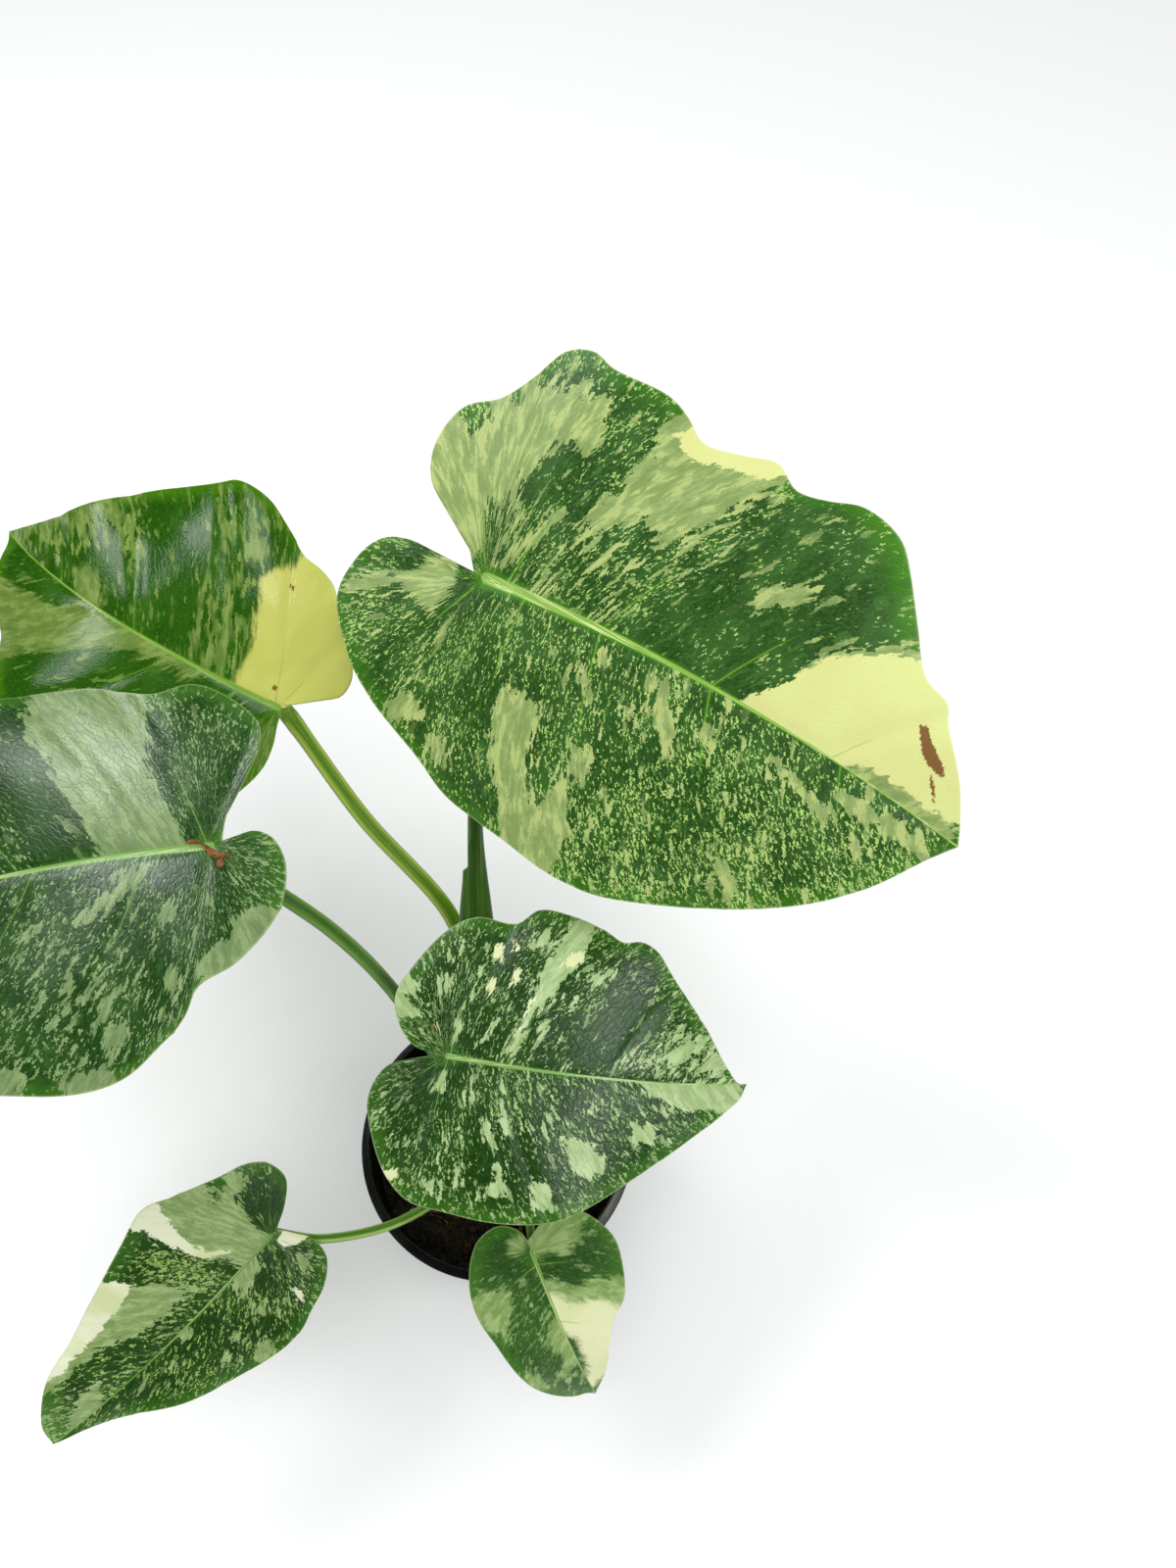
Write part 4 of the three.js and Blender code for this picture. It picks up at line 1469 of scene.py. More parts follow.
MARKS_D = {
    Tone.MINT: (
        (47, 2, 59, -2, 70, -2, 91, -3, 114, -4, 132, -2, 122, -8, 110, -12, 96, -13, 87, -10, 79, -7,
         70, -5, 61, -3),
        (-7, 30, -2, 31, -1, 25, -5, 23),
        (20, 3, 24, 13, 28, 22, 30, 31, 37, 46, 42, 53, 48, 58, 54, 56, 50, 46, 42, 33, 35, 24, 29, 17,
         26, 10, 25, 3),
        (-17, 28, -12, 28, -16, 22, -12, 14, -20, 14, -22, 21), (1, 4, 1, 12, 2, 17, 4, 11),
        (9, 4, 12, 8, 15, 14, 17, 15, 15, 9), (24, 44, 30, 50, 35, 53, 33, 47),
        (48, 32, 53, 37, 63, 41, 60, 36), (41, 20, 47, 25, 49, 26, 44, 20),
        (32, 13, 35, 18, 38, 17, 35, 13), (-4, -13, -2, -6, 1, -5, 0, -13),
        (14, -22, 17, -22, 21, -29, 20, -34, 15, -28), (18, -13, 21, -15, 25, -21, 25, -28, 22, -23),
        (18, -50, 21, -43, 22, -37, 25, -42, 26, -49), (6, -40, 9, -40, 11, -48, 8, -49),
        (36, -53, 35, -47, 40, -42, 44, -46, 44, -53),
        (45, -26, 52, -26, 64, -32, 66, -38, 56, -42, 48, -35), (74, -20, 86, -20, 85, -26, 75, -27),
        (80, 5, 90, 10, 98, 15, 106, 15, 101, 9, 92, 5), (104, 4, 112, 10, 119, 8, 124, 3, 114, 2),
        (-4, -46, 1, -46, 2, -52, -2, -50),
    ),
    Tone.CREAM: (
        (13, 45, 16, 44, 16, 37, 12, 40), (19, 47, 23, 44, 20, 41), (10, 28, 13, 31, 15, 29, 12, 24),
        (39, 38, 43, 44, 49, 46, 48, 41), (25, 13, 27, 18, 32, 29, 29, 26),
        (19, 27, 21, 35, 24, 37, 24, 31), (17, -2, 21, -3, 21, -6),
        (-18, -41, -13, -42, -12, -45, -16, -45),
    ),
    Tone.PLAIN: (
        (45, 7, 49, 19, 59, 26, 75, 31, 86, 27, 84, 18, 77, 12, 69, 9, 62, 3, 51, 3),
    ),
    Tone.BUSY: (
        (69, 5, 77, 10, 89, 17, 102, 20, 114, 16, 123, 8, 131, 0, 114, 0, 99, 1, 90, 2, 80, 3),
    ),
    Tone.SCAR: (
        (128, -2, 130, 2, 136, 2, 136, -3), (-8, 11, -6, 11, -6, 9),
    ),
}
MARKS_E = {
    Tone.MINT: (
        (21, -43, 11, -40, 5, -35, 4, -31, 4, -26, -1, -29, -7, -28, -8, -21, -2, -23, 0, -16, 0, -12,
         2, -7, 0, -1, 10, -2, 17, -9, 22, -15, 24, -23, 24, -32, 27, -39, 31, -43),
        (44, -28, 37, -20, 33, -12, 29, -7, 38, -9, 46, -10, 54, -11, 62, -15, 70, -18, 76, -18, 84, -18,
         91, -18, 97, -15, 99, -19, 93, -25, 84, -28, 74, -30, 62, -32, 52, -33),
        (17, -2, 11, -1, 8, 2, 9, 7, 15, 5, 21, 10, 22, 5, 19, -1), (-1, 14, -5, 18, 0, 22, 3, 20, 1, 15),
        (19, 14, 18, 17, 22, 21, 25, 20, 22, 16), (44, 1, 40, 2, 43, 4, 48, 4),
        (35, 28, 28, 27, 27, 31, 34, 33, 37, 31), (34, 15, 32, 17, 35, 20, 36, 18),
        (42, 18, 40, 20, 43, 23, 44, 21), (107, 0, 98, -4, 86, -9, 79, -8, 81, -4, 90, -2, 98, 0),
    ),
    Tone.CREAM: (
        (29, -46, 21, -43, 20, -36, 20, -30, 20, -25, 20, -20, 17, -14, 12, -8, 16, -10, 21, -15, 24, -23,
         26, -32, 28, -39, 33, -44),
        (51, -38, 46, -32, 44, -28, 49, -26, 60, -23, 72, -22, 83, -21, 96, -17, 102, -14, 107, -12,
         108, -17, 99, -20, 90, -30, 77, -31, 66, -34),
        (9, 20, 8, 22, 7, 27, 10, 29, 10, 25), (0, 3, -5, 5, -10, 10, -13, 16, -9, 15, -4, 11, 0, 7),
    ),
    Tone.PLAIN: (
        (-5, -18, -15, -17, -20, -9, -13, -4, -2, 0, 0, -5, -2, -13),
    ),
    Tone.BUSY: (
        (30, -36, 40, -32, 36, -12, 26, -6, 24, -20), (100, -18, 100, -3, 112, 2, 122, 0, 118, -16),
    ),
    Tone.BRIGHT: (
        (94, -20, 98, -4, 110, 2, 122, 2, 124, -14, 108, -22),
    ),
}
MARKS_F = {
    Tone.MINT: (
        (-3, 3, -8, 6, -8, 13, -8, 21, -4, 25, 3, 20, 5, 11, 2, 7, 2, 2),
        (-6, -8, -5, -3, -2, -3, -1, -6, -3, -9),
        (9, 0, 12, 6, 17, 9, 18, 14, 17, 17, 18, 21, 23, 29, 30, 27, 37, 26, 38, 20, 33, 14, 29, 8, 22, 2,
         14, -1),
        (20, -2, 27, -1, 36, 1, 46, 2, 55, 2, 51, 0, 51, -4, 56, -7, 51, -8, 42, -5, 38, -8, 34, -8,
         27, -4),
        (11, -29, 6, -22, 8, -20, 7, -15, 12, -13, 16, -16, 21, -19, 27, -23, 23, -25, 18, -28, 14, -29),
        (43, -20, 48, -16, 57, -14, 52, -20),
    ),
    Tone.CREAM: (
        (11, 0, 17, 3, 23, 7, 25, 14, 27, 19, 34, 23, 42, 16, 51, 10, 72, 1, 53, 3, 37, 3, 25, 2),
    ),
    Tone.PLAIN: (
        (0, -25, -7, -22, -12, -17, -12, -6, -6, -2, 0, -5, 8, -9, 6, -19, 4, -24),
        (3, 3, 3, 12, 4, 21, 6, 34, 14, 34, 21, 31, 17, 22, 13, 8),
    ),
}

LEAVES = (
    Leaf(
        "a", joint=(3, 145, 310), heading=-26, fall=15, roll=40, length=196, arch=10, fold=0.1, bow=7,
        waves=3.5, ripple=3, phase=(0, 0.3), notch=(-4, -2), radius=3, sheath=0.6, flare=4.3, rib=1.9,
        seed=11,
        left=(
            (-13, 8), (-23, 13), (-36, 21), (-41, 33), (-38, 49), (-27, 58), (-20, 69), (-13, 83),
            (-4, 87), (5, 85), (27, 86), (36, 83), (45, 78), (60, 81), (71, 84), (81, 79), (92, 81),
            (104, 85), (120, 82), (130, 73), (141, 60), (153, 46), (164, 42), (168, 36), (183, 20),
            (192, 7),
        ),
        right=(
            (-8, -5), (-15, -3), (-31, -2), (-43, -7), (-49, -18), (-49, -34), (-36, -49), (-20, -60),
            (8, -72), (24, -79), (52, -81), (72, -83), (90, -82), (112, -74), (134, -62), (154, -48),
            (170, -34), (178, -25), (189, -9),
        ),
        path=((7, 11), (3, 24, 125), (-4, 44, 160), (-6, 66, 194), (-3, 104, 252)),
        veins=((0.2, 0.42, 0.6, 0.74, 0.87), (0.16, 0.3, 0.47, 0.6, 0.74, 0.88)),
        tissue=TISSUES["a"], stalk=STALKS["a"], marks=MARKS_A,
    ),
    Leaf(
        "b", joint=(-84, 131, 250), heading=141, fall=8, roll=-25, length=195, arch=14, fold=0.1, bow=6,
        waves=3.5, ripple=3, phase=(0, 0.5), notch=(-2, 0), radius=3.5, sheath=0.55, blemish=0.33,
        rib=1.1, seed=12,
        left=(
            (-4, 6), (-8, 14), (-10, 23), (-7, 34), (2, 46), (14, 56), (34, 69), (58, 77), (84, 77),
            (108, 68), (130, 57), (152, 39), (170, 26), (181, 13), (186, 5),
        ),
        right=(
            (-5, -6), (-10, -11), (-18, -16), (-19, -25), (-13, -35), (-3, -45), (6, -53), (15, -56),
            (28, -58), (42, -65), (56, -71), (72, -71), (84, -64), (109, -53), (131, -36), (150, -23),
            (174, -11),
        ),
        path=((-5, 15), (-4, 28, 116), (-9, 52, 146), (-19, 76, 173), (-53, 102, 213)),
        veins=((0.15, 0.32, 0.48, 0.62, 0.78), (0.17, 0.36, 0.52, 0.7, 0.85)),
        tissue=TISSUES["b"], stalk=STALKS["b"], marks=MARKS_B,
    ),
    Leaf(
        "c", joint=(-91, 54, 275), heading=-172, fall=14, roll=-12, length=182, arch=14, fold=0.12,
        bow=-3, waves=3.5, ripple=3, phase=(0.2, 0.1), notch=(-4, -1), radius=3, rib=1.4, seed=13,
        left=(
            (-9, -2), (-15, -3), (-20, 0), (-23, 8), (-22, 19), (-17, 30), (-5, 43), (6, 49), (11, 58),
            (21, 66), (34, 73), (50, 75), (74, 71), (95, 66), (115, 59), (136, 44), (156, 29), (171, 12),
        ),
        right=(
            (-5, -5), (-8, -13), (-13, -21), (-19, -36), (-18, -46), (-8, -58), (2, -63), (14, -60),
            (25, -63), (38, -68), (60, -72), (80, -72), (102, -66), (124, -54), (144, -40), (162, -22),
            (174, -9),
        ),
        path=((-13, 2), (-13, 8, 115), (-27, 27, 148), (-40, 40, 178), (-58, 46, 225)),
        veins=((0.15, 0.33, 0.5, 0.66, 0.82), (0.17, 0.35, 0.5, 0.68, 0.85)),
        tissue=TISSUES["c"], stalk=STALKS["c"], marks=MARKS_C,
    ),
    Leaf(
        "d", joint=(-14, 7, 194), heading=3, fall=24, roll=20, length=133, arch=12, fold=0.12, bow=-3,
        waves=3, ripple=2.5, phase=(0.2, 0.6), notch=(-4, 0), radius=2.7, rows=150, columns=38, rib=1.2,
        seed=14,
        left=(
            (-13, 3), (-19, 11), (-21, 21), (-15, 34), (-4, 49), (5, 54), (20, 53), (30, 60), (46, 59),
            (58, 55), (65, 51), (73, 52), (80, 49), (87, 41), (108, 21), (119, 7), (127, 0),
        ),
        right=(
            (-12, -2), (-21, -6), (-26, -17), (-24, -30), (-17, -45), (-7, -54), (7, -57), (20, -59),
            (33, -59), (46, -57), (65, -48), (86, -35), (104, -22), (120, -12), (129, -6),
        ),
        path=((12, -2), (12, -1, 118), (4, 3, 152), (-7, 6, 174)),
        veins=((0.16, 0.36, 0.55, 0.75), (0.15, 0.34, 0.54, 0.75)),
        tissue=TISSUES["d"], stalk=STALKS["d"], marks=MARKS_D,
    ),
    Leaf(
        "e", joint=(-86, -48, 140), heading=-138, fall=13, roll=-40, length=109, arch=8, fold=0.1, bow=0,
        waves=3, ripple=2, phase=(0.2, 0.6), notch=(-3, 0), radius=2, rows=140, columns=34, rib=1.1,
        seed=15,
        left=(
            (-6, 6), (-9, 14), (-7, 25), (1, 32), (10, 34), (17, 36), (26, 36), (38, 34), (50, 29),
            (61, 23), (73, 16), (87, 8), (98, 3), (105, 1),
        ),
        right=(
            (-11, -4), (-18, -11), (-18, -21), (-13, -28), (-2, -33), (14, -40), (24, -45), (36, -42),
            (58, -34), (75, -27), (89, -23), (100, -15), (107, -7),
        ),
        path=((-10, -10), (-13, -16, 107), (-27, -30, 113), (-45, -40, 117), (-70, -46, 124)),
        veins=((0.18, 0.38, 0.58, 0.78), (0.17, 0.36, 0.56, 0.78)),
        tissue=TISSUES["e"], stalk=STALKS["e"], marks=MARKS_E,
    ),
    Leaf(
        "f", joint=(17, -52, 128), heading=-61, fall=42, roll=12, length=72, arch=9, fold=0.1, bow=0,
        waves=2.5, ripple=1.5, phase=(0.2, 0.6), notch=(-4, 0), radius=1.8, rows=130, columns=30, seed=16,
        left=(
            (-8, 8), (-9, 14), (-6, 23), (0, 29), (8, 33), (18, 32), (32, 27), (38, 20), (48, 14),
            (62, 7),
        ),
        right=(
            (-8, -2), (-12, -9), (-11, -18), (-6, -24), (5, -29), (17, -30), (29, -27), (42, -24),
            (55, -20), (64, -14), (68, -8), (69, -3),
        ),
        path=((4, -12), (8, -19, 106), (13, -30, 114), (16, -42, 121)),
        veins=((0.2, 0.45, 0.7), (0.2, 0.45, 0.7)),
        tissue=TISSUES["f"], stalk=STALKS["f"], marks=MARKS_F,
    ),
)


@dataclass(frozen=True)
class DriedScrap:
    """A curl of dead orange-brown sheath that has dropped on a blade.

    strands are the lines that it follows, as x, y and height in the leaf's own frame. Each strand is a
    thin ribbon, width across, which turns over by twist radians on its way and thins to both ends.
    """

    leaf: Leaf
    strands: tuple[tuple[Point3, ...], ...]
    width: float = 2.9
    twist: float = 4.5
    steps: int = 30
    sides: int = 12
    pale: str = "#855626"
    dark: str = "#3a220e"

    def skin(self) -> Material:
        """Builds the material: papery dead tissue, with painted light, orange where light would come
        through, and painted shade, dark in its folds.
        """
        material, tree, shader = new_material("scrap_dead_papery_sheath")
        place = add_node(tree, "TexCoord", output="Object")
        folds = Grain(1.2, 1.2, 3, 0.6).of(tree, place, 1 / MM)
        share = add_node(tree, "MapRange", {"Value": folds, "From Min": 0.52, "From Max": 0.64})
        inputs = {0: share, 6: linear(self.pale), 7: linear(self.dark)}
        colour = add_node(tree, "Mix", inputs, data_type="RGBA", output=2)
        tree.links.new(colour, shader.inputs["Base Color"])
        bump = add_node(tree, "Bump", {"Height": folds, "Distance": 0.2 * MM, "Strength": 0.8})
        tree.links.new(bump, shader.inputs["Normal"])
        shader.inputs["Roughness"].default_value = 0.6
        return material

    def build(self) -> None:
        """Builds the ribbons along their lines and lays them on the blade.

        A ribbon's section is an ellipse three tenths as thick as it is wide, turned by its share of the
        twist, and scaled by the root of the sine of the way along.
        """
        nets = []
        up = np.linspace(0, 1, self.steps)
        angle = 2 * np.pi * np.arange(self.sides)[None, :] / self.sides - (self.twist * up)[:, None]
        section = 1 / np.hypot(np.cos(angle) / 0.3, np.sin(angle))
        taper = np.sqrt(np.sin(np.pi * np.clip(up, 0.03, 0.97)))[:, None]
        for strand in self.strands:
            places = along_line(smooth_line(np.array(strand, dtype=float)), up)
            forward = unit(np.gradient(places, axis=0))
            across = unit(np.cross(forward, (0, 0, 1)))
            reach = 0.5 * self.width * section * taper
            points, quads = tube(places, reach, across, np.cross(across, forward))
            nets.append((points, quads[:, ::-1]))
        points, quads = gather(nets)
        placed = points @ self.leaf.axes() + np.array(self.leaf.joint)
        piece = make_piece(f"scrap_on_blade_{self.leaf.letter}", placed, quads, [self.skin()])
        settle(piece, "leaf")


# Pot, soil and stem


@dataclass(frozen=True)
class NurseryPot:
    """The round moulded pot: tapered wall, stepped collar, sloping lip and drain holes in the floor.

    The lip's top face falls by lip_fall from its inner edge outwards, and both its edges are rounded.
    The pale patch painted on one side of the lip is a painted highlight, centred on the bearing given for
    it.
    """

    base_radius: float = 43
    wall: float = 1.6
    floor: float = 2
    collar_height: float = 12
    collar_radius: float = 58.6
    shoulder_radius: float = 57.2
    lip_radius: float = 55.8
    lip_fall: float = 1.7
    lip_round: float = 0.8
    lip_lean: float = 57
    sheen_bearing: float = -15
    sheen_reach: Point2 = (50, 25)
    sheen_strength: float = 0.8
    foot_depth: float = 0.8
    drain_radius: float = 4
    drain_ring: float = 29
    drains: int = 6
    segments: int = 144
    finish: MouldedPlastic = MouldedPlastic()

    def bend(
        self, centre: Point2, radius: float, start: float, stop: float, steps: int = 6
    ) -> list[Point2]:
        """Gives the places of a rounded corner of the profile.

        Args:
            centre: the corner's centre as radius and height.
            radius: its size.
            start: first angle in degrees.
            stop: last angle in degrees.
            steps: how many spans it has.

        Returns:
            The places in order.
        """
        angles = np.radians(np.linspace(start, stop, steps + 1))
        return [(centre[0] + radius * np.cos(a), centre[1] + radius * np.sin(a)) for a in angles]

    def build(self) -> None:
        """Turns the profile round the axis, and cuts the drain holes out of its floor."""
        collar_z = POT_HEIGHT - self.collar_height
        lip_z = POT_HEIGHT - self.lip_fall
        r = self.lip_round
        profile = [
            (0, self.foot_depth),
            (self.drain_ring + 7, self.foot_depth),
            (self.drain_ring + 8, 0),
            *self.bend((self.base_radius - 1.2, 1.2), 1.2, -90, -8),
            (self.shoulder_radius - 0.2, collar_z - 1.2),
            (self.shoulder_radius, collar_z - 0.2),
            (self.shoulder_radius + 0.2, collar_z),
            *self.bend((self.collar_radius - 0.5, collar_z + 0.5), 0.5, -90, -8, 4),
            *self.bend((RIM_RADIUS - r, lip_z - r), r, -8, self.lip_lean),
            *self.bend((self.lip_radius + r, POT_HEIGHT - r), r, self.lip_lean, 180),
            (self.shoulder_radius - self.wall, collar_z - 2),
            *self.bend((self.base_radius - self.wall - 2, self.floor + 2), 2, -8, -90),
            (0, self.floor),
        ]
        points, quads, bearing = turned_form(np.array(profile, dtype=float), self.segments)
        z = points[:, 2]
        inside = np.hypot(points[:, 0], points[:, 1]) < self.lip_radius + 1
        apart = np.degrees(np.abs(np.angle(np.exp(1j * (bearing - np.radians(self.sheen_bearing))))))
        # Painted highlight: a pale patch over the top of the collar and lip, fading away from its bearing.
        sheen_painted = self.sheen_strength * smoothstep(80, 96, z) * smoothstep(*self.sheen_reach, apart)
        fields = {"dusty": smoothstep(60, 100, z) * inside, "sheen_painted": sheen_painted}
        pot = make_piece("pot_shell", points, quads, [self.finish.skin()], fields=fields, crease=0.7)
        radius = self.drain_radius
        pin = np.array([(0, -2), (radius, -2), (radius, 5), (0, 5)], dtype=float)
        points, quads, _ = turned_form(pin, 32)
        angles = 2 * np.pi * np.arange(self.drains) / self.drains
        moves = [self.drain_ring * np.array([np.cos(a), np.sin(a), 0]) for a in angles]
        cutter = make_piece("drain_cutter", *gather([(points + move, quads) for move in moves]), [])
        holes = pot.modifiers.new("drain_holes", "BOOLEAN")
        holes.operation = "DIFFERENCE"
        holes.solver = "EXACT"
        holes.object = cutter
        shell = bpy.data.meshes.new_from_object(pot.evaluated_get(bpy.context.evaluated_depsgraph_get()))
        pot.modifiers.clear()
        pot.data = shell
        bpy.data.objects.remove(cutter)
        settle(pot, "pot_plastic", "pot")


@dataclass(frozen=True)
class PottingMix:
    """The soil: a lumpy bed with loose crumbs, bark chips, white grit and dead fibres on it."""

    edge_radius: float = 54.3
    bottom_radius: float = 41.2
    bottom_z: float = 2.3
    lump: float = 0.9
    crumbs: int = 1500
    chips: int = 150
    grits: int = 26
    fibres: int = 46
    segments: int = 160
    seed: int = 5

    def height(self, x: Array, y: Array) -> Array:
        """Height of the bed: a low crown, with random lumps from 11 mm down to 1.4 mm wide."""
        radius = np.hypot(x, y)
        crown = SOIL_EDGE_Z + (SOIL_CENTRE_Z - SOIL_EDGE_Z) * (1 - smoothstep(8, self.edge_radius, radius))
        lumps = self.lump * lattice_noise(x, y, 11, self.seed, 4)
        return crown - 0.5 + lumps * (1 - 0.6 * smoothstep(49, 54, radius))

    def bed(self) -> None:
        """Builds the bed as rings of points over its top, wall and bottom."""
        rings = np.linspace(0, self.edge_radius, 64)
        points, _, _ = turned_form(np.stack([rings, np.zeros_like(rings)], axis=1), self.segments)
        points[:, 2] = self.height(points[:, 0], points[:, 1])
        edge = (self.edge_radius, SOIL_EDGE_Z - 2)
        low = np.array([edge, (self.bottom_radius, self.bottom_z), (0, self.bottom_z)])
        below, _, _ = turned_form(low, self.segments)
        piece = make_piece(
            "soil_bed",
            np.concatenate([points, below]),
            grid_quads(len(rings) + len(low), self.segments + 1),
            [Earth("bed", "#161510", "#383128", 1.2).skin()],
        )
        settle(piece, "soil", "soil")

    def scatter(
        self, name: str, count: int, sizes: Point3, spread: float, seed: int, finish: Earth, tilt: float
    ) -> None:
        """Strews one kind of loose bit over the bed.

        Each bit is the 12 points of an icosahedron, stretched by its sizes, roughened, tipped and
        turned at random, and set half its thickness above the bed.

        Args:
            name: the piece's name.
            count: how many bits.
            sizes: half length, half width and half thickness.
            spread: how far sizes vary, as a share.
            seed: seed of the random draws.
            finish: what it is made of.
            tilt: how far a bit may tip, in radians.
        """
        rng = np.random.default_rng(seed)
        gold = (1 + 5**0.5) / 2
        corners = np.array(
            [(-1, gold, 0), (1, gold, 0), (-1, -gold, 0), (1, -gold, 0), (0, -1, gold), (0, 1, gold),
             (0, -1, -gold), (0, 1, -gold), (gold, 0, -1), (gold, 0, 1), (-gold, 0, -1), (-gold, 0, 1)]
        ) / np.hypot(1, gold)
        faces = np.array(
            [(0, 11, 5), (0, 5, 1), (0, 1, 7), (0, 7, 10), (0, 10, 11), (1, 5, 9), (5, 11, 4), (11, 10, 2),
             (10, 7, 6), (7, 1, 8), (3, 9, 4), (3, 4, 2), (3, 2, 6), (3, 6, 8), (3, 8, 9), (4, 9, 5),
             (2, 4, 11), (6, 2, 10), (8, 6, 7), (9, 8, 1)]
        )
        shape = corners[None] * rng.uniform(0.72, 1.15, (count, 12, 1))
        shape = shape * np.array(sizes) * rng.uniform(1 - spread, 1 + spread, (count, 1, 3))
        turn, tip = rng.uniform(0, 2 * np.pi, count), rng.uniform(-tilt, tilt, count)
        x, y, z = shape[..., 0], shape[..., 1], shape[..., 2]
        c, s = np.cos(tip)[:, None], np.sin(tip)[:, None]
        x, z = x * c - z * s, x * s + z * c
        c, s = np.cos(turn)[:, None], np.sin(turn)[:, None]
        x, y = x * c - y * s, x * s + y * c
        radius = (self.edge_radius - sizes[0] - 0.5) * np.sqrt(rng.uniform(0, 1, count))
        angle = rng.uniform(0, 2 * np.pi, count)
        at_x, at_y = radius * np.cos(angle), radius * np.sin(angle)
        spots = np.stack([at_x, at_y, self.height(at_x, at_y) + 0.5 * sizes[2]], axis=1)
        points = (np.stack([x, y, z], axis=-1) + spots[:, None]).reshape(-1, 3)
        triangles = (faces[None] + len(corners) * np.arange(count)[:, None, None]).reshape(-1, 3)
        quads = np.concatenate([triangles, triangles[:, 2:]], axis=1)
        settle(make_piece(name, points, quads, [finish.skin()], crease=0.5), "soil")

    def strands(self) -> None:
        """Lays dead fibres: thin round hairs along gently curving arcs that follow the bed's height."""
        rng = np.random.default_rng(self.seed + 40)
        nets = []
        t = np.linspace(-0.5, 0.5, 12)
        for _ in range(self.fibres):
            reach = rng.uniform(8, 24)
            heading, curve = rng.uniform(0, 2 * np.pi), rng.uniform(-1.6, 1.6)
            radius, angle = 44 * np.sqrt(rng.uniform(0, 1)), rng.uniform(0, 2 * np.pi)
            x = radius * np.cos(angle) + reach * t * np.cos(heading + curve * t)
            y = radius * np.sin(angle) + reach * t * np.sin(heading + curve * t)
            inside = np.minimum(1, 51 / np.maximum(np.hypot(x, y), 1))
            x, y = x * inside, y * inside
            arch = 1.3 * (0.25 - t**2) * rng.uniform(0, 2)
            places = np.stack([x, y, self.height(x, y) + 0.7 + arch], axis=1)
            forward = unit(np.gradient(places, axis=0))
            across = np.cross(forward, (0, 0, 1))
            reaches = np.full((len(t), 5), rng.uniform(0.16, 0.4))
            points, quads = tube(places, reaches, across, np.cross(across, forward))
            nets.append((points, quads[:, ::-1]))
        skins = [Earth("fibre", "#4a3420", "#a88a5e", 0.8).skin()]
        settle(make_piece("soil_fibres", *gather(nets), skins), "soil")

    def build(self) -> None:
        """Builds the bed and then everything that lies on it."""
        self.bed()
        crumb = Earth("crumb", "#13120d", "#332b21", 0.7)
        bark = Earth("bark", "#1c120b", "#4c3320", 1.4)
        grit = Earth("grit", "#8d8b80", "#d9d6c8", 0.9)
        for name, count, sizes, spread, seed, finish, tilt in (
            ("crumbs", self.crumbs, (1.5, 1.3, 1.0), 0.5, 21, crumb, 1.2),
            ("bark", self.chips, (4.4, 2.3, 1.1), 0.45, 22, bark, 0.5),
            ("grit", self.grits, (1.5, 1.3, 1.2), 0.35, 23, grit, 1.2),
        ):
            self.scatter(f"soil_{name}", count, sizes, spread, seed, finish, tilt)
        self.strands()


@dataclass(frozen=True)
class Rootstock:
    """The short stem between the stalks, ringed by the scars of old sheaths."""

    radius: float = 6
    top_z: float = 113
    scar: float = 0.35
    scar_pitch: float = 1.5

    def build(self) -> None:
        """Turns a ringed profile round the axis; each ring stands a third of a millimetre proud."""
        z = np.linspace(ROOTED_Z, self.top_z, 60)
        taper = 1 - smoothstep(self.top_z - 9, self.top_z + 1, z) * 0.75
        scars = self.scar * np.maximum(0, np.sin((z - ROOTED_Z) * self.scar_pitch)) ** 6
        radius = (self.radius - 0.5) * taper + scars
        radius[0], radius[-1] = 0, 0
        profile = np.stack([radius, z], axis=1)
        points, quads, angle = turned_form(profile, 40)
        points[:, :2] *= 1 + 0.04 * np.sin(2 * angle + 0.3 * points[:, 2])[:, None]
        tissue = StalkTissue(
            "rootstock", base="#5d6a34", shade="#474f24", pale="#8a8a52", foot="#4a4428", roughness=0.6
        )
        up = (points[:, 2] - ROOTED_Z) / (self.top_z - ROOTED_Z)
        piece = make_piece(
            "stem_ringed",
            points,
            quads,
            [tissue.skin()],
            fields={"up": up},
            maps={"length": np.stack([angle * self.radius, points[:, 2]], axis=-1)},
        )
        settle(piece, "stem", "stem")


# Studio


@dataclass(frozen=True)
class SoftLight:
    """A square soft light aimed at the plant, placed by its bearing, height angle and distance."""

    name: str
    bearing: float
    elevation: float
    distance: float
    size: float
    power: float
    colour: Point3

    def build(self, target: Point3) -> None:
        """Places the light.

        Args:
            target: what it is aimed at, in metres.
        """
        bearing, elevation = np.radians([self.bearing, self.elevation])
        level = np.cos(elevation)
        away = np.array([level * np.cos(bearing), level * np.sin(bearing), np.sin(elevation)])
        lamp = bpy.data.lights.new(self.name, "AREA")
        lamp.shape = "SQUARE"
        lamp.size = self.size
        lamp.energy = self.power
        lamp.color = self.colour
        light = add_object(self.name, lamp)
        light.visible_camera = False
        light.location = np.array(target) + away * self.distance
        light.rotation_euler = (np.pi / 2 - elevation, 0, bearing + np.pi / 2)


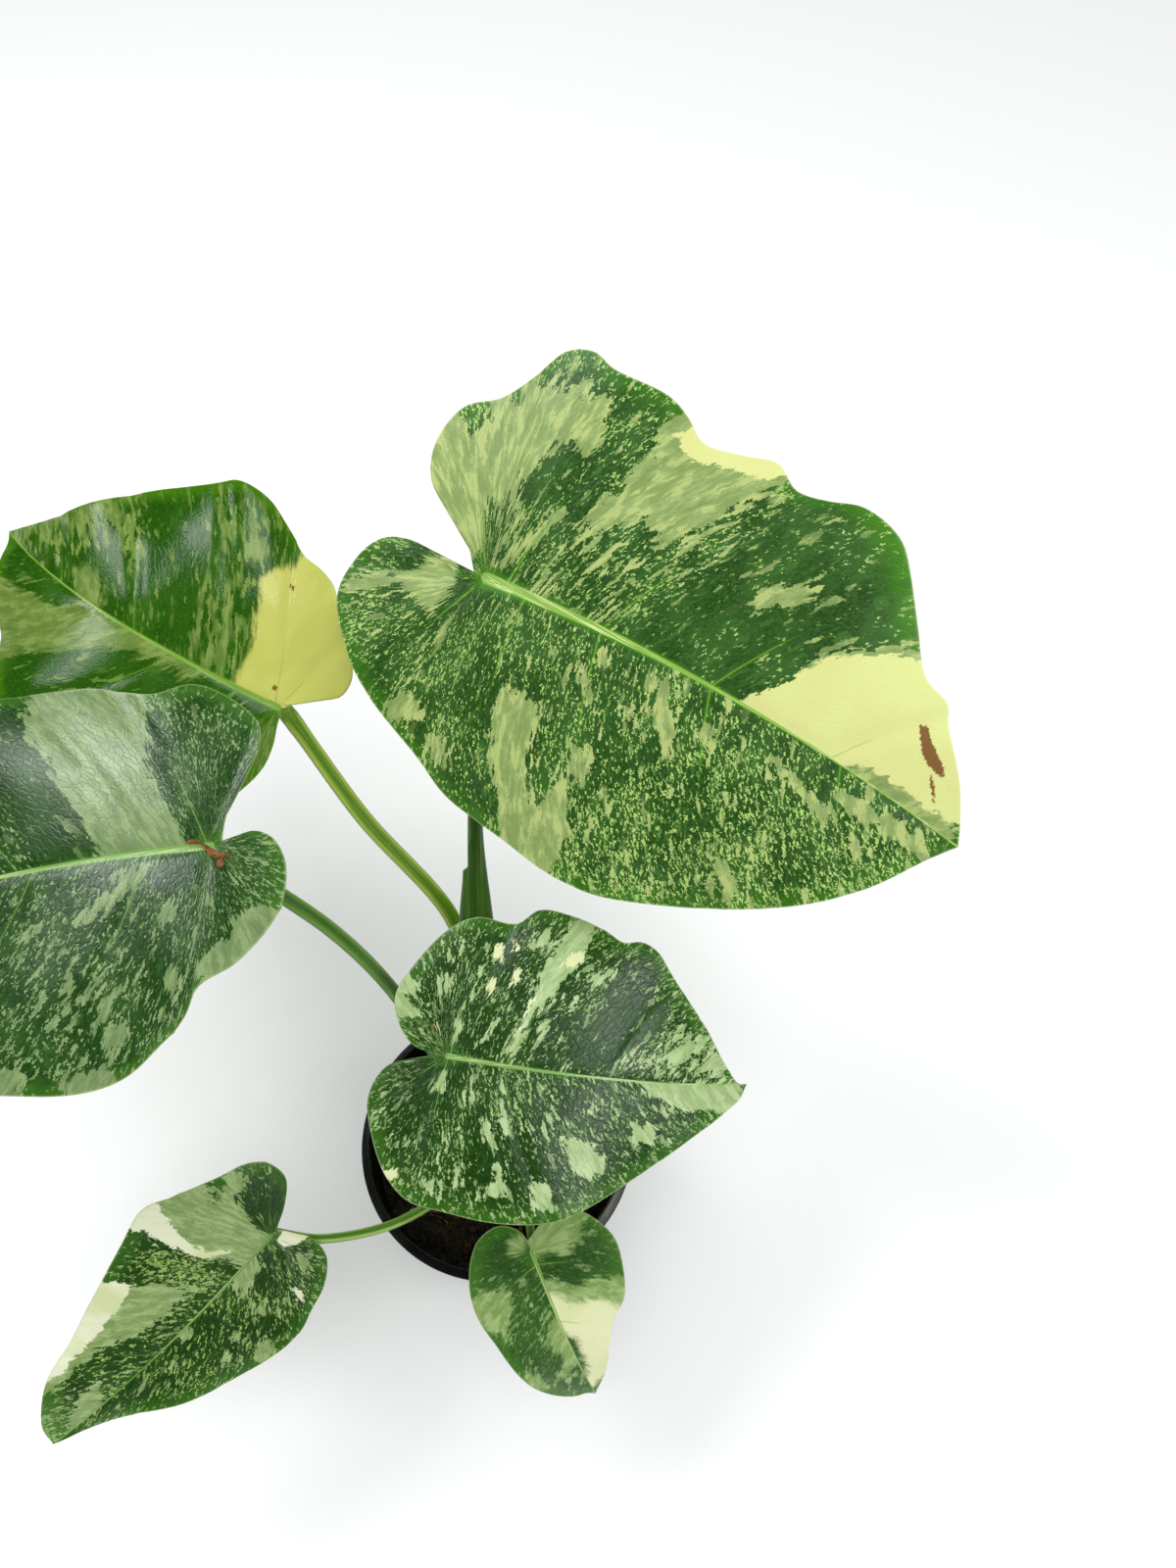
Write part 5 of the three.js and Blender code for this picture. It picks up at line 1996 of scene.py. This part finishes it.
@dataclass(frozen=True)
class Studio:
    """Pale floor, soft window light and the camera that looks down on the plant."""

    camera_place: Point3 = (39.7, -143.6, 631.5)
    pitch: float = 58
    focal_px: float = 1202
    image_height_px: float = 1600
    sensor: float = 36
    floor_half: float = 2.5
    target: Point3 = (-0.04, 0.06, 0.2)
    lights: tuple[SoftLight, ...] = (
        SoftLight("window_left", 154, 27, 1.3, 0.2, 1.6, (0.97, 0.99, 1.0)),
        SoftLight("window_back", 147, 59, 1.3, 0.44, 6.2, (0.96, 0.99, 1.0)),
        SoftLight("window_right", -20, 37, 1.3, 0.6, 5.5, (0.97, 0.99, 1.0)),
    )
    sky_bearing: float = -82
    sky_elevation: float = 68
    sky_spread: float = 45
    sky_strength: float = 0.95
    room: str = "#f2f4f6"
    room_strength: float = 0.57
    paper: str = "#fafaf9"

    def camera(self) -> None:
        """Places the camera; its focal length comes from the frame's height in pixels."""
        data = bpy.data.cameras.new("camera")
        data.sensor_fit = "VERTICAL"
        data.sensor_height = self.sensor
        data.lens = self.focal_px / self.image_height_px * self.sensor
        camera = add_object("camera", data)
        camera.location = np.array(self.camera_place) * MM
        camera.rotation_euler = (np.radians(90 - self.pitch), 0, 0)
        bpy.context.scene.camera = camera

    def light(self) -> None:
        """Places the windows, the open sky and the room's own pale light, which leaves no reflection."""
        for light in self.lights:
            light.build(self.target)
        sky = bpy.data.lights.new("open_sky", "SUN")
        sky.energy = self.sky_strength
        sky.angle = np.radians(self.sky_spread)
        above = add_object("open_sky", sky)
        above.rotation_euler = (np.radians(90 - self.sky_elevation), 0, np.radians(self.sky_bearing + 90))
        above.visible_glossy = False
        world = bpy.data.worlds.new("soft_room")
        world.use_nodes = True
        backdrop = world.node_tree.nodes["Background"]
        backdrop.inputs["Color"].default_value = linear(self.room)
        backdrop.inputs["Strength"].default_value = self.room_strength
        world.cycles_visibility.glossy = False
        bpy.context.scene.world = world
        bpy.context.scene.view_settings.view_transform = "Standard"

    def floor(self) -> None:
        """Lays the floor: matt pale paper."""
        half = self.floor_half
        mesh = bpy.data.meshes.new("floor")
        corners = [(-half, -half, 0), (half, -half, 0), (half, half, 0), (-half, half, 0)]
        mesh.from_pydata(corners, [], [(0, 1, 2, 3)])
        material, _, shader = new_material("floor_matt_paper")
        shader.inputs["Base Color"].default_value = linear(self.paper)
        shader.inputs["Roughness"].default_value = 0.9
        shader.inputs["Specular IOR Level"].default_value = 0.1
        mesh.materials.append(material)
        floor = add_object("floor", mesh)
        floor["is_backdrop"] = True

    def build(self) -> None:
        """Sets up the camera, the light and the floor."""
        self.camera()
        self.light()
        self.floor()


def main() -> None:
    """Builds the studio and the plant, piece by piece."""
    logging.basicConfig(level=logging.INFO, format="%(name)s %(message)s")
    Studio().build()
    NurseryPot().build()
    PottingMix().build()
    Rootstock().build()
    for leaf in LEAVES:
        leaf.petiole()
        leaf.blade()
    DriedScrap(
        LEAVES[2],
        strands=(
            ((7, -2, 3.4), (3, -1.6, 2.4), (0, 1.4, 1.8), (-2, 3.8, 1.2), (-5, 5, 0.4), (-7.4, 5, -0.8)),
            ((-4.6, 4.8, 0.4), (-4, 7, 0.9), (-3.3, 9.6, 0.9)),
        ),
    ).build()
    boxes = {"cad": CAD_BOX, "visual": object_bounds()}
    boxes = {name: [list(corner) for corner in box] for name, box in boxes.items()}


if __name__ == "__main__":
    main()
